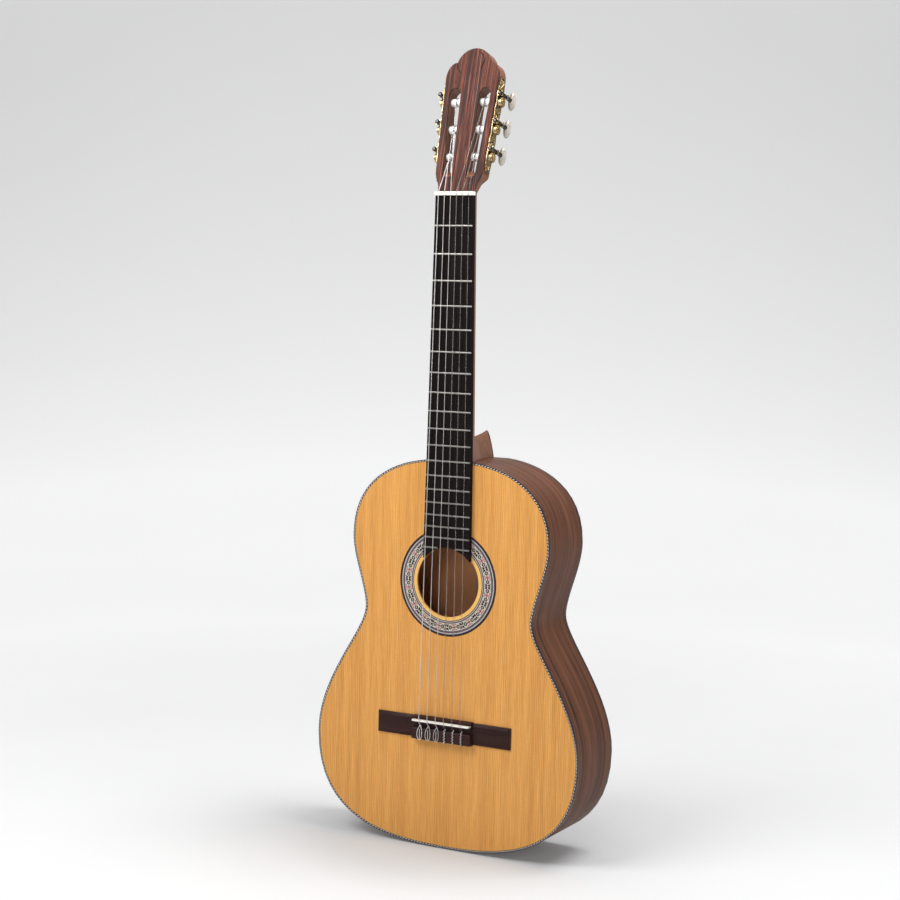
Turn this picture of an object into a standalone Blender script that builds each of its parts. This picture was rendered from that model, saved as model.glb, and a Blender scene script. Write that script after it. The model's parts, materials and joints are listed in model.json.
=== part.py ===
"""A classical guitar with a slotted head, standing upright.

Metres, +Z up the neck, +X towards the treble side, the soundboard facing -Y.
The origin is under the tail, midway between the front of the strings and the back.
"""
import math

import bmesh
import bpy
from mathutils import Matrix, Vector

NAME = "classical_guitar"
GAP = 0.0003                      # between pieces that touch
STEP = 0.0002                     # keeps the faces of joined bars out of one plane

# ---- Body
BODY_LENGTH = 0.4868
LOWER_HALF = 0.1845               # half widths of the outline and where they lie
LOWER_Z = 0.1281
WAIST_HALF = 0.1172
WAIST_Z = 0.2945
UPPER_HALF = 0.1379
UPPER_Z = 0.3874
HEEL_FLAT_HALF = 0.030
DEPTH_TAIL = 0.1040
DEPTH_HEEL = 0.0949
TOP_THICK = 0.0025
BACK_THICK = 0.0025
RIB_THICK = 0.0020
BINDING_WIDTH = 0.0024
BINDING_DEPTH = 0.0050
PLATE_INSET = BINDING_WIDTH + GAP
LINING_WIDTH = 0.0075
LINING_DEPTH = 0.0120
OUTLINE_STEPS = 16                # points for each of the four stretches of half the outline

# ---- Blocks and bracing
NECK_BLOCK_HALF = 0.0320
NECK_BLOCK_TALL = 0.0400
TAIL_BLOCK_HALF = 0.0300
TAIL_BLOCK_SPAN = (0.0042, 0.0200)
HARMONIC_REACH = 0.0620           # above and below the hole's middle
HARMONIC_HALF = 0.0030
HARMONIC_TALL = 0.0140
HOLE_BAR_X = 0.0580
HOLE_BAR_HALF = 0.0040
HOLE_BAR_TALL = 0.0045
PATCH_HALF = 0.0950               # the patch glued under the bridge
PATCH_TALL = 0.0022
PATCH_SPAN = (0.1350, 0.1680)
FAN_TOP_SPACING = 0.0210
FAN_FOOT_SPACING = 0.0380
FAN_FOOT_Z = 0.0400
FAN_FOOT_RISE = 0.0035            # with the square of a strut's place from the middle
FAN_HALF = 0.0025
FAN_TALL = 0.0050
BAR_END_GAP = 0.0020              # between a bar's end and the lining
STRIP_HALF = 0.0090
STRIP_TALL = 0.0022
STRIP_SPAN = (0.0350, 0.4400)
BACK_BARS = (0.1000, 0.2350, 0.3950)
BACK_BAR_HALF = 0.0035
BACK_BAR_TALL = 0.0130

# ---- Scale, neck and fingerboard
SCALE_LENGTH = 0.650
BODY_FRET = 12
NUT_Z = BODY_LENGTH + SCALE_LENGTH / 2
NECK_LEAN = 0.006                 # radians forward from the soundboard's plane
NUT_HALF = 0.026
JOINT_HALF = 0.0308
BOARD_THICK = 0.0062
BOARD_FRONT = BOARD_THICK + GAP   # in front of the neck's glue plane
FRET_COUNT = 19
FRET_HEIGHT = 0.0010
FRET_WIDTH = 0.0024
TANG_WIDTH = 0.0006
TANG_DEPTH = 0.0018
FRET_CLEARANCE = 0.0002
NUT_THICK = 0.0047
NUT_HEIGHT = 0.0092
NECK_DEPTH_NUT = 0.0162
NECK_DEPTH_HEEL = 0.0180
NECK_SIDES = 12
HEEL_SECTIONS = (                 # depth behind the glue plane, half width, length along the neck
    (0.008, 0.0285, 0.078), (0.0175, 0.0255, 0.062), (0.022, 0.0230, 0.050), (0.030, 0.0195, 0.039),
    (0.045, 0.0155, 0.0300), (0.063, 0.0128, 0.0275), (0.080, 0.0115, 0.0300),
    (DEPTH_HEEL - GAP, 0.0110, 0.0335))

# ---- Sound hole and rosette
HOLE_DROP = 0.4759                # below the nut
HOLE_RADIUS = 0.0434              # the fingerboard ends on the same arc
ROSETTE_INNER = 0.0480
ROSETTE_OUTER = 0.0676
ROSETTE_THICK = 0.0010
HOLE_Z = NUT_Z - HOLE_DROP

# ---- Bridge and strings
SADDLE_DROP = 0.6519              # with its compensation
BRIDGE_HALF = 0.0940
BRIDGE_TALL = 0.0300
BRIDGE_TOP_Z = NUT_Z - 0.6460
WING_THICK = 0.0035
TIE_HALF = 0.0415
TIE_HEIGHT = 0.0090
TIE_SECTION = (                   # below the bridge's top edge, and above the soundboard
    (0.0005, 0.0030), (0.0022, 0.0082), (0.0044, 0.0082), (0.0044, 0.0030), (0.0074, 0.0030),
    (0.0074, 0.0082), (0.0093, 0.0082), (0.0108, 0.0038), (0.0152, 0.0038), (0.0158, 0.0084),
    (0.0166, TIE_HEIGHT), (0.0280, TIE_HEIGHT), (0.0298, 0.0080), (BRIDGE_TALL, 0.0040))
SADDLE_SLOT = (0.0044, 0.0074)
SADDLE_SLOT_FLOOR = 0.0030
CHANNEL = (0.0110, 0.0150)
CHANNEL_FLOOR = 0.0038
WING_MARGIN = (0.0015, 0.0012)    # the wings are a little shorter than the block, above and below
WING_CHAMFER = 0.0015
SADDLE_HALF = 0.0400
SADDLE_THICK = 0.0024
SADDLE_HEIGHT = 0.0118
TIE_HOLE_HEIGHT = 0.0050
TIE_HOLE_RADIUS = 0.0012
STRING_RADII = (0.00055, 0.00045, 0.00037, 0.00051, 0.00041, 0.00036)   # bass to treble
NUT_SPAN_HALF = 0.0210
BRIDGE_SPAN_HALF = 0.0293

# ---- Head, measured down its own tilted face from the nut
HEAD_TILT = math.radians(14.0)
HEAD_FACE = 0.0035                # in front of the glue plane, at the nut
HEAD_START = 0.0058
HEAD_THICK = 0.0190
VENEER_THICK = 0.0020
HEAD_NECK_HALF = 0.0256
HEAD_LOW = (0.0322, 0.031)        # half width and height where the straight edge begins
HEAD_HIGH = (0.0368, 0.150)       # and where it ends
NOTCH = (0.0232, 0.1702)
HEAD_TOP = 0.1880
SLOT_BOTTOM = 0.0230
SLOT_TOP = 0.1380
SLOT_INNER = (0.0092, 0.0278)     # distance from the middle at the nut, and growth a metre
SLOT_OUTER = (0.0207, 0.0608)
CORE_SLOT_BOTTOM = 0.0320
RAMP_ANGLE = math.radians(35.0)

# ---- Tuners
ROLLER_PLACES = (0.051, 0.086, 0.121)
ROLLER_DEPTH = 0.0095
ROLLER_RADIUS = 0.0050
JOURNAL_RADIUS = 0.0034
TIP_RADIUS = 0.0030
RUNNING_GAP = 0.0004
PLATE_THICK = 0.0015
PLATE_HALF = 0.0080
GEAR_TEETH = 14
GEAR_RADIUS = 0.0060
TOOTH = 0.0005
GEAR_THICK = 0.0030
GEAR_OUT = 0.0053                 # the gear's middle plane, from the head's side
WORM_RADIUS = 0.0025
WORM_PITCH = 2 * math.pi * GEAR_RADIUS / GEAR_TEETH
WORM_TURNS = 2.5
WORM_STEPS = 6                    # a turn
MESH_GAP = 0.0005
CENTRE_DISTANCE = GEAR_RADIUS + WORM_RADIUS + MESH_GAP
LUG_OUTER = 0.0082
LUG_INNER = 0.0058
SHAFT_RADIUS = 0.0016
LUG_HALF = 0.0030
PLATE_SPAN = (0.0315, 0.1515)
PLATE_LOBE = 0.0006
PLATE_TAPER = 0.0030
COLLAR_RADIUS = 0.0046
SCREW_RADIUS = 0.0030
SCREW_TALL = 0.0012
KEY_FRONT = ((-0.0104, 0.0016), (-0.0100, 0.0024), (-0.0086, 0.0024), (-0.0085, SHAFT_RADIUS),
             (-0.0050, SHAFT_RADIUS))
KEY_REAR = ((0.0050, SHAFT_RADIUS), (0.0085, SHAFT_RADIUS), (0.0086, 0.0024), (0.0105, 0.0024),
            (0.0110, 0.0019), (0.0210, 0.0019))
BUTTON_CENTRE = 0.0245
BUTTON_SIZE = (0.00425, 0.0066, 0.0118)

# ---- Places worked out from the above
SADDLE_STRING_REACH = SADDLE_HEIGHT + GAP + 2 * max(STRING_RADII)
TOP_Y = -(DEPTH_TAIL - SADDLE_STRING_REACH) / 2
BACK_SLOPE = (DEPTH_TAIL - DEPTH_HEEL) / BODY_LENGTH
SIDE_ANGLE = math.atan((HEAD_HIGH[0] - HEAD_LOW[0]) / (HEAD_HIGH[1] - HEAD_LOW[1]))

BACK = Matrix.Translation((0, TOP_Y + DEPTH_TAIL, 0)) @ Matrix(
    ((1, 0, 0, 0), (0, 1, -BACK_SLOPE, 0), (0, 0, 1, 0), (0, 0, 0, 1)))
FRONT = Matrix.Translation((0, TOP_Y, 0))
PIVOT = Matrix.Translation((0, TOP_Y, BODY_LENGTH))
NECK = (PIVOT @ Matrix.Rotation(NECK_LEAN, 4, "X") @ PIVOT.inverted()
        @ Matrix.Translation((0, TOP_Y, NUT_Z)))
HEAD = NECK @ Matrix.Translation((0, -HEAD_FACE, 0)) @ Matrix.Rotation(-HEAD_TILT, 4, "X")

MATERIALS = {
    "spruce": ((0.80, 0.50, 0.20), 0.35, 0.0),
    "rosewood": ((0.13, 0.045, 0.022), 0.35, 0.0),
    "facing": ((0.22, 0.060, 0.045), 0.35, 0.0),
    "dark_wood": ((0.022, 0.014, 0.012), 0.40, 0.0),
    "mahogany": ((0.16, 0.065, 0.030), 0.40, 0.0),
    "pale_wood": ((0.62, 0.42, 0.22), 0.60, 0.0),
    "mosaic": ((0.45, 0.36, 0.32), 0.40, 0.0),
    "bone": ((0.85, 0.82, 0.74), 0.35, 0.0),
    "brass": ((0.80, 0.58, 0.25), 0.25, 1.0),
    "black_steel": ((0.03, 0.03, 0.03), 0.30, 0.9),
    "fret_silver": ((0.75, 0.73, 0.70), 0.25, 1.0),
    "wound_silver": ((0.70, 0.70, 0.70), 0.30, 1.0),
    "nylon": ((0.75, 0.75, 0.72), 0.20, 0.0),
    "white_plastic": ((0.88, 0.88, 0.86), 0.35, 0.0),
}


# ---- Helpers
def collection(name):
    made = bpy.data.collections.new(name)
    bpy.context.scene.collection.children.link(made)
    return made


def material(name):
    made = bpy.data.materials.get(name)
    if made is None:
        colour, roughness, metallic = MATERIALS[name]
        made = bpy.data.materials.new(name)
        made.use_nodes = True
        shader = made.node_tree.nodes["Principled BSDF"]
        shader.inputs["Base Color"].default_value = (*colour, 1)
        shader.inputs["Roughness"].default_value = roughness
        shader.inputs["Metallic"].default_value = metallic
    return made


def new_object(name, mesh, frame, finish=None):
    """A part with a finish, or a hidden cutter without one."""
    made = bpy.data.objects.new(name, mesh)
    made.matrix_world = frame
    if finish is None:
        CUTTERS.objects.link(made)
        made.hide_render = True
        made.display_type = "WIRE"
    else:
        PARTS.objects.link(made)
        mesh.materials.clear()
        mesh.materials.append(material(finish))
    return made


def tidy_mesh(work, name):
    bmesh.ops.remove_doubles(work, verts=work.verts, dist=1e-6)
    bmesh.ops.recalc_face_normals(work, faces=work.faces)
    mesh = bpy.data.meshes.new(name)
    work.to_mesh(mesh)
    work.free()
    return mesh


def flat_mesh(name, outlines, low, high, order="xyz"):
    """Flat closed outlines, the later ones as holes, filled and given the thickness low to high.

    order says which axes the outline's two directions and its thickness lie along.
    """
    curve = bpy.data.curves.new(name, "CURVE")
    curve.dimensions = "2D"
    curve.fill_mode = "BOTH"
    curve.extrude = (high - low) / 2
    for outline in outlines:
        spline = curve.splines.new("POLY")
        spline.points.add(len(outline) - 1)
        for point, (a, b) in zip(spline.points, outline):
            point.co = (a, b, 0, 1)
        spline.use_cyclic_u = True
    holder = bpy.data.objects.new(name, curve)
    bpy.context.scene.collection.objects.link(holder)
    bpy.context.view_layer.update()
    solid = bpy.data.meshes.new_from_object(holder.evaluated_get(bpy.context.evaluated_depsgraph_get()))
    bpy.data.objects.remove(holder)
    work = bmesh.new()
    work.from_mesh(solid)
    bpy.data.meshes.remove(solid)
    places = ["xyz".index(axis) for axis in order]
    for vert in work.verts:
        values = (vert.co.x, vert.co.y, vert.co.z + (high + low) / 2)
        moved = [0.0, 0.0, 0.0]
        for place, value in zip(places, values):
            moved[place] = value
        vert.co = moved
    return tidy_mesh(work, name)


def box_mesh(name, low, high):
    work = bmesh.new()
    size = [b - a for a, b in zip(low, high)]
    middle = [(a + b) / 2 for a, b in zip(low, high)]
    bmesh.ops.create_cube(work, size=1, matrix=Matrix.Translation(middle) @ Matrix.Diagonal((*size, 1)))
    return tidy_mesh(work, name)


def rod_mesh(name, start, end, radius, sides=12):
    """A plain rod from start to end."""
    start = Vector(start)
    end = Vector(end)
    run = end - start
    turn = Vector((0, 0, 1)).rotation_difference(run).to_matrix().to_4x4()
    work = bmesh.new()
    bmesh.ops.create_cone(work, cap_ends=True, segments=sides, radius1=radius, radius2=radius,
                          depth=run.length, matrix=Matrix.Translation((start + end) / 2) @ turn)
    return tidy_mesh(work, name)


def loft_mesh(name, rings):
    """A closed skin over rings of equal count, flat at both ends."""
    work = bmesh.new()
    rows = [[work.verts.new(point) for point in ring] for ring in rings]
    count = len(rings[0])
    for low, high in zip(rows, rows[1:]):
        for i in range(count):
            j = (i + 1) % count
            work.faces.new((low[i], low[j], high[j], high[i]))
    work.faces.new(rows[0])
    work.faces.new(rows[-1])
    bmesh.ops.triangulate(work, faces=work.faces)
    return tidy_mesh(work, name)


def boolean(target, cutter, operation="DIFFERENCE"):
    step = target.modifiers.new(cutter.name, "BOOLEAN")
    step.operation = operation
    step.object = cutter


def cut(target, mesh, frame):
    boolean(target, new_object(mesh.name, mesh, frame))


def join(target, mesh, frame):
    boolean(target, new_object(mesh.name, mesh, frame), "UNION")


def circle(radius, count, centre=(0, 0)):
    turns = [2 * math.pi * i / count for i in range(count)]
    return [(centre[0] + radius * math.cos(t), centre[1] + radius * math.sin(t)) for t in turns]


def arc(centre, radii, start, end, steps):
    """Points on an ellipse from one angle to another, in degrees."""
    points = []
    for i in range(steps + 1):
        turn = math.radians(start + (end - start) * i / steps)
        points.append((centre[0] + radii[0] * math.cos(turn), centre[1] + radii[1] * math.sin(turn)))
    return points


# ---- The body's outline: four cubic stretches for the treble half, from tail to heel
BODY_STRETCHES = (
    ((0, 0), (0.068, 0), (LOWER_HALF, LOWER_Z - 0.123), (LOWER_HALF, LOWER_Z)),
    ((LOWER_HALF, LOWER_Z), (LOWER_HALF, LOWER_Z + 0.0705), (WAIST_HALF, WAIST_Z - 0.030),
     (WAIST_HALF, WAIST_Z)),
    ((WAIST_HALF, WAIST_Z), (WAIST_HALF, WAIST_Z + 0.024), (UPPER_HALF, UPPER_Z - 0.031),
     (UPPER_HALF, UPPER_Z)),
    ((UPPER_HALF, UPPER_Z), (UPPER_HALF, UPPER_Z + 0.0935), (HEEL_FLAT_HALF + 0.006, BODY_LENGTH),
     (HEEL_FLAT_HALF, BODY_LENGTH)),
)


def cubic(points, t):
    a, b, c, d = (Vector(p) for p in points)
    u = 1 - t
    place = a * u ** 3 + b * 3 * u * u * t + c * 3 * u * t * t + d * t ** 3
    along = (b - a) * u * u + (c - b) * 2 * u * t + (d - c) * t * t
    return place, along.normalized()


def half_outline(inset, start_x=0.0):
    """The treble half from tail to heel, moved inwards by inset and ended at x = start_x."""
    points = []
    for stretch in BODY_STRETCHES:
        for i in range(OUTLINE_STEPS):
            place, along = cubic(stretch, i / OUTLINE_STEPS)
            inward = Vector((-along.y, along.x))
            points.append(place + inward * inset)
    points.append(Vector((HEEL_FLAT_HALF, BODY_LENGTH - inset)))
    points.append(Vector((start_x, BODY_LENGTH - inset)))
    points[0].x = start_x
    return [(p.x, p.y) for p in points]


def body_outline(inset):
    right = half_outline(inset)
    left = [(-x, z) for x, z in right[1:-1]]
    return right + left[::-1]


def half_width_at(z, inset):
    """How wide half the body is at a height, inside an inset."""
    points = half_outline(inset)
    for (x0, z0), (x1, z1) in zip(points, points[1:]):
        if z0 <= z <= z1:
            return x0 + (x1 - x0) * (z - z0) / (z1 - z0)
    return 0.0


# ---- Body
def make_plates():
    hole = circle(HOLE_RADIUS, 40, (0, HOLE_Z))
    mesh = flat_mesh("soundboard", [body_outline(PLATE_INSET), hole], 0, TOP_THICK, "xzy")
    board = new_object("soundboard", mesh, FRONT, "spruce")
    recess = [circle(ROSETTE_OUTER + GAP, 48, (0, HOLE_Z)), circle(ROSETTE_INNER - GAP, 48, (0, HOLE_Z))]
    cut(board, flat_mesh("rosette_recess", recess, -0.001, ROSETTE_THICK + GAP, "xzy"), FRONT)
    ring = [circle(ROSETTE_OUTER, 48, (0, HOLE_Z)), circle(ROSETTE_INNER, 48, (0, HOLE_Z))]
    new_object("rosette", flat_mesh("rosette", ring, 0, ROSETTE_THICK, "xzy"), FRONT, "mosaic")
    back = flat_mesh("back_plate", [body_outline(PLATE_INSET)], -BACK_THICK, 0, "xzy")
    back.transform(BACK)
    new_object("back_plate", back, Matrix(), "rosewood")


def ring_outlines(outer, inner):
    return [body_outline(outer), body_outline(inner)]


def make_edges():
    """Bindings on the outer corners and kerfed linings inside them."""
    band = ring_outlines(0, BINDING_WIDTH)
    new_object("top_binding", flat_mesh("top_binding", band, 0, BINDING_DEPTH, "xzy"), FRONT, "dark_wood")
    back = flat_mesh("back_binding", band, -BINDING_DEPTH, 0, "xzy")
    back.transform(BACK)
    new_object("back_binding", back, Matrix(), "dark_wood")
    strip = ring_outlines(PLATE_INSET, PLATE_INSET + LINING_WIDTH)
    low = TOP_THICK + GAP
    front = flat_mesh("top_lining", strip, low, low + LINING_DEPTH, "xzy")
    new_object("top_lining", front, FRONT, "pale_wood")
    low = BACK_THICK + GAP
    rear = flat_mesh("back_lining", strip, -low - LINING_DEPTH, -low, "xzy")
    rear.transform(BACK)
    new_object("back_lining", rear, Matrix(), "pale_wood")


def make_ribs():
    seam = GAP / 2
    reach = BINDING_DEPTH + GAP
    band = half_outline(0, seam) + half_outline(RIB_THICK, seam)[::-1]
    for side, name in ((1, "rib_treble"), (-1, "rib_bass")):
        outline = [(side * x, z) for x, z in band]
        mesh = flat_mesh(name, [outline], 0, 1, "xzy")
        for vert in mesh.vertices:
            if vert.co.y < 0.5:
                vert.co.y = TOP_Y + reach
            else:
                vert.co.y = TOP_Y + DEPTH_TAIL - BACK_SLOPE * vert.co.z - reach
        new_object(name, mesh, Matrix(), "rosewood")


def make_blocks():
    inside = TOP_THICK + 2 * GAP + LINING_DEPTH
    near_top = BODY_LENGTH - RIB_THICK - GAP
    neck_low = (-NECK_BLOCK_HALF, TOP_Y + inside, near_top - NECK_BLOCK_TALL)
    neck_high = (NECK_BLOCK_HALF, TOP_Y + DEPTH_HEEL - inside, near_top)
    new_object("neck_block", box_mesh("neck_block", neck_low, neck_high), Matrix(), "mahogany")
    tail_low = (-TAIL_BLOCK_HALF, TOP_Y + inside, TAIL_BLOCK_SPAN[0])
    tail_high = (TAIL_BLOCK_HALF, TOP_Y + DEPTH_TAIL - inside - 2 * GAP, TAIL_BLOCK_SPAN[1])
    new_object("tail_block", box_mesh("tail_block", tail_low, tail_high), Matrix(), "mahogany")


def make_bracing():
    """Two harmonic bars joined beside the hole, seven fan struts and the bridge patch."""
    edge = PLATE_INSET + LINING_WIDTH + 0.0010
    low = TOP_THICK + GAP
    bars = []
    for z in (HOLE_Z + HARMONIC_REACH, HOLE_Z - HARMONIC_REACH):
        half = half_width_at(z, edge) - BAR_END_GAP
        near = (-half, low, z - HARMONIC_HALF)
        far = (half, low + HARMONIC_TALL, z + HARMONIC_HALF)
        bars.append(box_mesh("harmonic_bar", near, far))
    overlap = HARMONIC_REACH + 0.0010
    for x in (-HOLE_BAR_X, HOLE_BAR_X):
        near = (x - HOLE_BAR_HALF, low + STEP, HOLE_Z - overlap)
        far = (x + HOLE_BAR_HALF, low + HOLE_BAR_TALL, HOLE_Z + overlap)
        bars.append(box_mesh("hole_bar", near, far))
    near = (-PATCH_HALF, low + 2 * STEP, PATCH_SPAN[0])
    far = (PATCH_HALF, low + PATCH_TALL, PATCH_SPAN[1])
    bars.append(box_mesh("bridge_patch", near, far))
    for i in range(-3, 4):
        top = Vector((FAN_TOP_SPACING * i, low + STEP, HOLE_Z - HARMONIC_REACH))
        foot = Vector((FAN_FOOT_SPACING * i, low + STEP, FAN_FOOT_Z + FAN_FOOT_RISE * i * i))
        run = foot - top
        strut = box_mesh("fan_strut", (-FAN_HALF, 0, 0), (FAN_HALF, FAN_TALL, run.length))
        turn = Matrix.Rotation(math.atan2(run.x, run.z), 4, "Y")
        strut.transform(Matrix.Translation(top) @ turn)
        bars.append(strut)
    first = new_object("top_bracing", bars[0], FRONT, "pale_wood")
    for bar in bars[1:]:
        join(first, bar, FRONT)
    low = BACK_THICK + GAP
    near = (-STRIP_HALF, -low - STRIP_TALL, STRIP_SPAN[0])
    strip = box_mesh("back_bracing", near, (STRIP_HALF, -low, STRIP_SPAN[1]))
    strip.transform(BACK)
    strip = new_object("back_bracing", strip, Matrix(), "pale_wood")
    for z in BACK_BARS:
        half = half_width_at(z, edge) - BAR_END_GAP
        near = (-half, -low - BACK_BAR_TALL, z - BACK_BAR_HALF)
        bar = box_mesh("back_bar", near, (half, -low - STEP, z + BACK_BAR_HALF))
        bar.transform(BACK)
        join(strip, bar, Matrix())


# ---- Bridge, saddle and nut
def string_x(index, half_span):
    return half_span * (2 * index / 5 - 1)


def make_bridge():
    """A cross-section with a saddle ridge, a channel and a tie block, on a plate with two wings."""
    base = -GAP
    first = TIE_SECTION[0][0]
    outline = [(base, BRIDGE_TOP_Z - first)]
    outline += [(-height, BRIDGE_TOP_Z - below) for below, height in TIE_SECTION]
    outline.append((base, BRIDGE_TOP_Z - BRIDGE_TALL))
    block = flat_mesh("tie_block", [outline], -TIE_HALF, TIE_HALF, "yzx")
    near = (-BRIDGE_HALF, -WING_THICK, BRIDGE_TOP_Z - BRIDGE_TALL + WING_MARGIN[1])
    wings = box_mesh("bridge", near, (BRIDGE_HALF, base, BRIDGE_TOP_Z - WING_MARGIN[0]))
    bridge = new_object("bridge", wings, FRONT, "dark_wood")
    chamfer = bridge.modifiers.new("chamfer", "BEVEL")
    chamfer.width = WING_CHAMFER
    chamfer.segments = 1
    chamfer.angle_limit = math.radians(60)
    join(bridge, block, FRONT)
    near = (-TIE_HALF - 0.001, -0.02, BRIDGE_TOP_Z - SADDLE_SLOT[1])
    far = (TIE_HALF + 0.001, -SADDLE_SLOT_FLOOR, BRIDGE_TOP_Z - SADDLE_SLOT[0])
    cut(bridge, box_mesh("saddle_slot", near, far), FRONT)
    near = (-TIE_HALF, -0.02, BRIDGE_TOP_Z - CHANNEL[1])
    far = (TIE_HALF, -CHANNEL_FLOOR, BRIDGE_TOP_Z - CHANNEL[0])
    cut(bridge, box_mesh("channel", near, far), FRONT)
    for i in range(6):
        x = string_x(i, BRIDGE_SPAN_HALF)
        start = (x, -TIE_HOLE_HEIGHT, BRIDGE_TOP_Z - 0.012)
        end = (x, -TIE_HOLE_HEIGHT, BRIDGE_TOP_Z - BRIDGE_TALL - 0.002)
        cut(bridge, rod_mesh("tie_hole", start, end, TIE_HOLE_RADIUS, 8), FRONT)
    middle = NUT_Z - SADDLE_DROP
    saddle = box_mesh("saddle", (-SADDLE_HALF, -SADDLE_HEIGHT, middle - SADDLE_THICK / 2),
                      (SADDLE_HALF, -SADDLE_SLOT_FLOOR - GAP, middle + SADDLE_THICK / 2))
    new_object("saddle", saddle, FRONT, "bone")


def board_half(drop):
    """Half the fingerboard's width at a distance below the nut."""
    return NUT_HALF + (JOINT_HALF - NUT_HALF) * drop / (SCALE_LENGTH / 2)


def fret_drop(number):
    return SCALE_LENGTH * (1 - 2 ** (-number / 12))


def make_nut():
    bar = box_mesh("nut", (-NUT_HALF, -NUT_HEIGHT, GAP), (NUT_HALF, -GAP, NUT_THICK + GAP))
    nut = new_object("nut", bar, NECK, "bone")
    for i, radius in enumerate(STRING_RADII):
        x = string_x(i, NUT_SPAN_HALF)
        height = nut_string_height(radius)
        groove = box_mesh("nut_groove", (x - radius - GAP, -NUT_HEIGHT - 0.001, -0.001),
                          (x + radius + GAP, -height + radius + GAP, NUT_THICK + 0.002))
        cut(nut, groove, NECK)


def nut_string_height(radius):
    return BOARD_FRONT + FRET_HEIGHT + 0.0004 + radius


# ---- Fingerboard and frets
def make_fingerboard():
    end = HOLE_DROP - math.sqrt(HOLE_RADIUS ** 2 - board_half(0.446) ** 2)
    corner = board_half(end)
    turn = math.degrees(math.acos(corner / HOLE_RADIUS))
    round_end = arc((0, -HOLE_DROP), (HOLE_RADIUS, HOLE_RADIUS), turn, 180 - turn, 12)
    outline = [(-NUT_HALF, 0), (NUT_HALF, 0)] + round_end
    mesh = flat_mesh("fingerboard", [outline], -BOARD_FRONT, -GAP + 0.001, "xzy")
    board = new_object("fingerboard", mesh, NECK, "dark_wood")
    neck_side = box_mesh("neck_side", (-0.06, -GAP, -0.5), (0.06, 0.02, 0.01))
    cut(board, neck_side, NECK)
    body_side = box_mesh("body_side", (-0.06, -GAP, 0.30), (0.06, 0.02, BODY_LENGTH + 0.001))
    cut(board, body_side, FRONT)
    slots = bmesh.new()
    depth = TANG_DEPTH + GAP
    for number in range(1, FRET_COUNT + 1):
        place = Matrix.Translation((0, -BOARD_FRONT + depth / 2 - 0.0005, -fret_drop(number)))
        size = Matrix.Diagonal((0.1, depth + 0.001, TANG_WIDTH + 2 * GAP, 1))
        bmesh.ops.create_cube(slots, size=1, matrix=place @ size)
    cut(board, tidy_mesh(slots, "fret_slots"), NECK)


def fret_mesh(name, drop, low, high):
    """A domed crown with a tang, from x = low to x = high."""
    seat = BOARD_FRONT + FRET_CLEARANCE
    crown = arc((-drop, -seat), (FRET_WIDTH / 2, -FRET_HEIGHT + FRET_CLEARANCE), 0, 180, 4)
    half = TANG_WIDTH / 2
    foot = -seat + TANG_DEPTH
    tang = [(-drop - half, -seat), (-drop - half, foot), (-drop + half, foot), (-drop + half, -seat)]
    return flat_mesh(name, [crown + tang], low, high, "zyx")


def make_frets():
    for number in range(1, FRET_COUNT + 1):
        drop = fret_drop(number)
        half = board_half(drop) - 0.0003
        name = f"fret_{number:02d}"
        if number < FRET_COUNT:
            new_object(name, fret_mesh(name, drop, -half, half), NECK, "fret_silver")
            continue
        below = HOLE_DROP - drop - FRET_WIDTH / 2
        hole = math.sqrt(HOLE_RADIUS ** 2 - below ** 2)
        bass = fret_mesh(name + "_bass", drop, -half, -hole)
        new_object(name + "_bass", bass, NECK, "fret_silver")
        treble = fret_mesh(name + "_treble", drop, hole, half)
        new_object(name + "_treble", treble, NECK, "fret_silver")


# ---- Neck and head
def neck_ring(drop, half, depth, sheared=False):
    points = []
    for i in range(NECK_SIDES + 1):
        turn = math.pi * i / NECK_SIDES
        x = half * math.copysign(abs(math.cos(turn)) ** 0.75, math.cos(turn))
        y = depth * math.sin(turn) ** 0.85
        z = -drop
        if sheared:
            z = (HEAD_START - GAP - (HEAD_FACE + y) * math.sin(HEAD_TILT)) / math.cos(HEAD_TILT)
        points.append((x, y, z))
    return points


def make_neck():
    joint = SCALE_LENGTH / 2
    inset = 0.0002
    rings = [neck_ring(0, HEAD_NECK_HALF, NECK_DEPTH_NUT, True),
             neck_ring(0.006, NUT_HALF - inset, NECK_DEPTH_NUT - 0.0004)]
    for drop, depth in ((0.035, NECK_DEPTH_NUT - 0.0012), (0.160, 0.0165), (0.260, NECK_DEPTH_HEEL)):
        rings.append(neck_ring(drop, board_half(drop) - inset, depth))
    rings.append(neck_ring(joint + 0.001, JOINT_HALF - inset, NECK_DEPTH_HEEL + 0.001))
    neck = new_object("neck", loft_mesh("neck", rings), NECK, "mahogany")
    sections = []
    for depth, half, length in HEEL_SECTIONS:
        ring = [(half, depth, -joint - 0.002)]
        for i in range(11):
            u = 1 - i / 5
            ring.append((half * u, depth, -joint + length * (1 - abs(u) ** 1.7)))
        ring.append((-half, depth, -joint - 0.002))
        sections.append(ring)
    join(neck, loft_mesh("heel", sections), NECK)
    below = box_mesh("below_joint", (-0.1, TOP_Y - 0.02, 0.45), (0.1, 0.1, BODY_LENGTH + GAP))
    cut(neck, below, Matrix())


def head_edge(height):
    grow = (HEAD_HIGH[0] - HEAD_LOW[0]) / (HEAD_HIGH[1] - HEAD_LOW[1])
    return HEAD_LOW[0] + grow * (height - HEAD_LOW[1])


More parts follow.
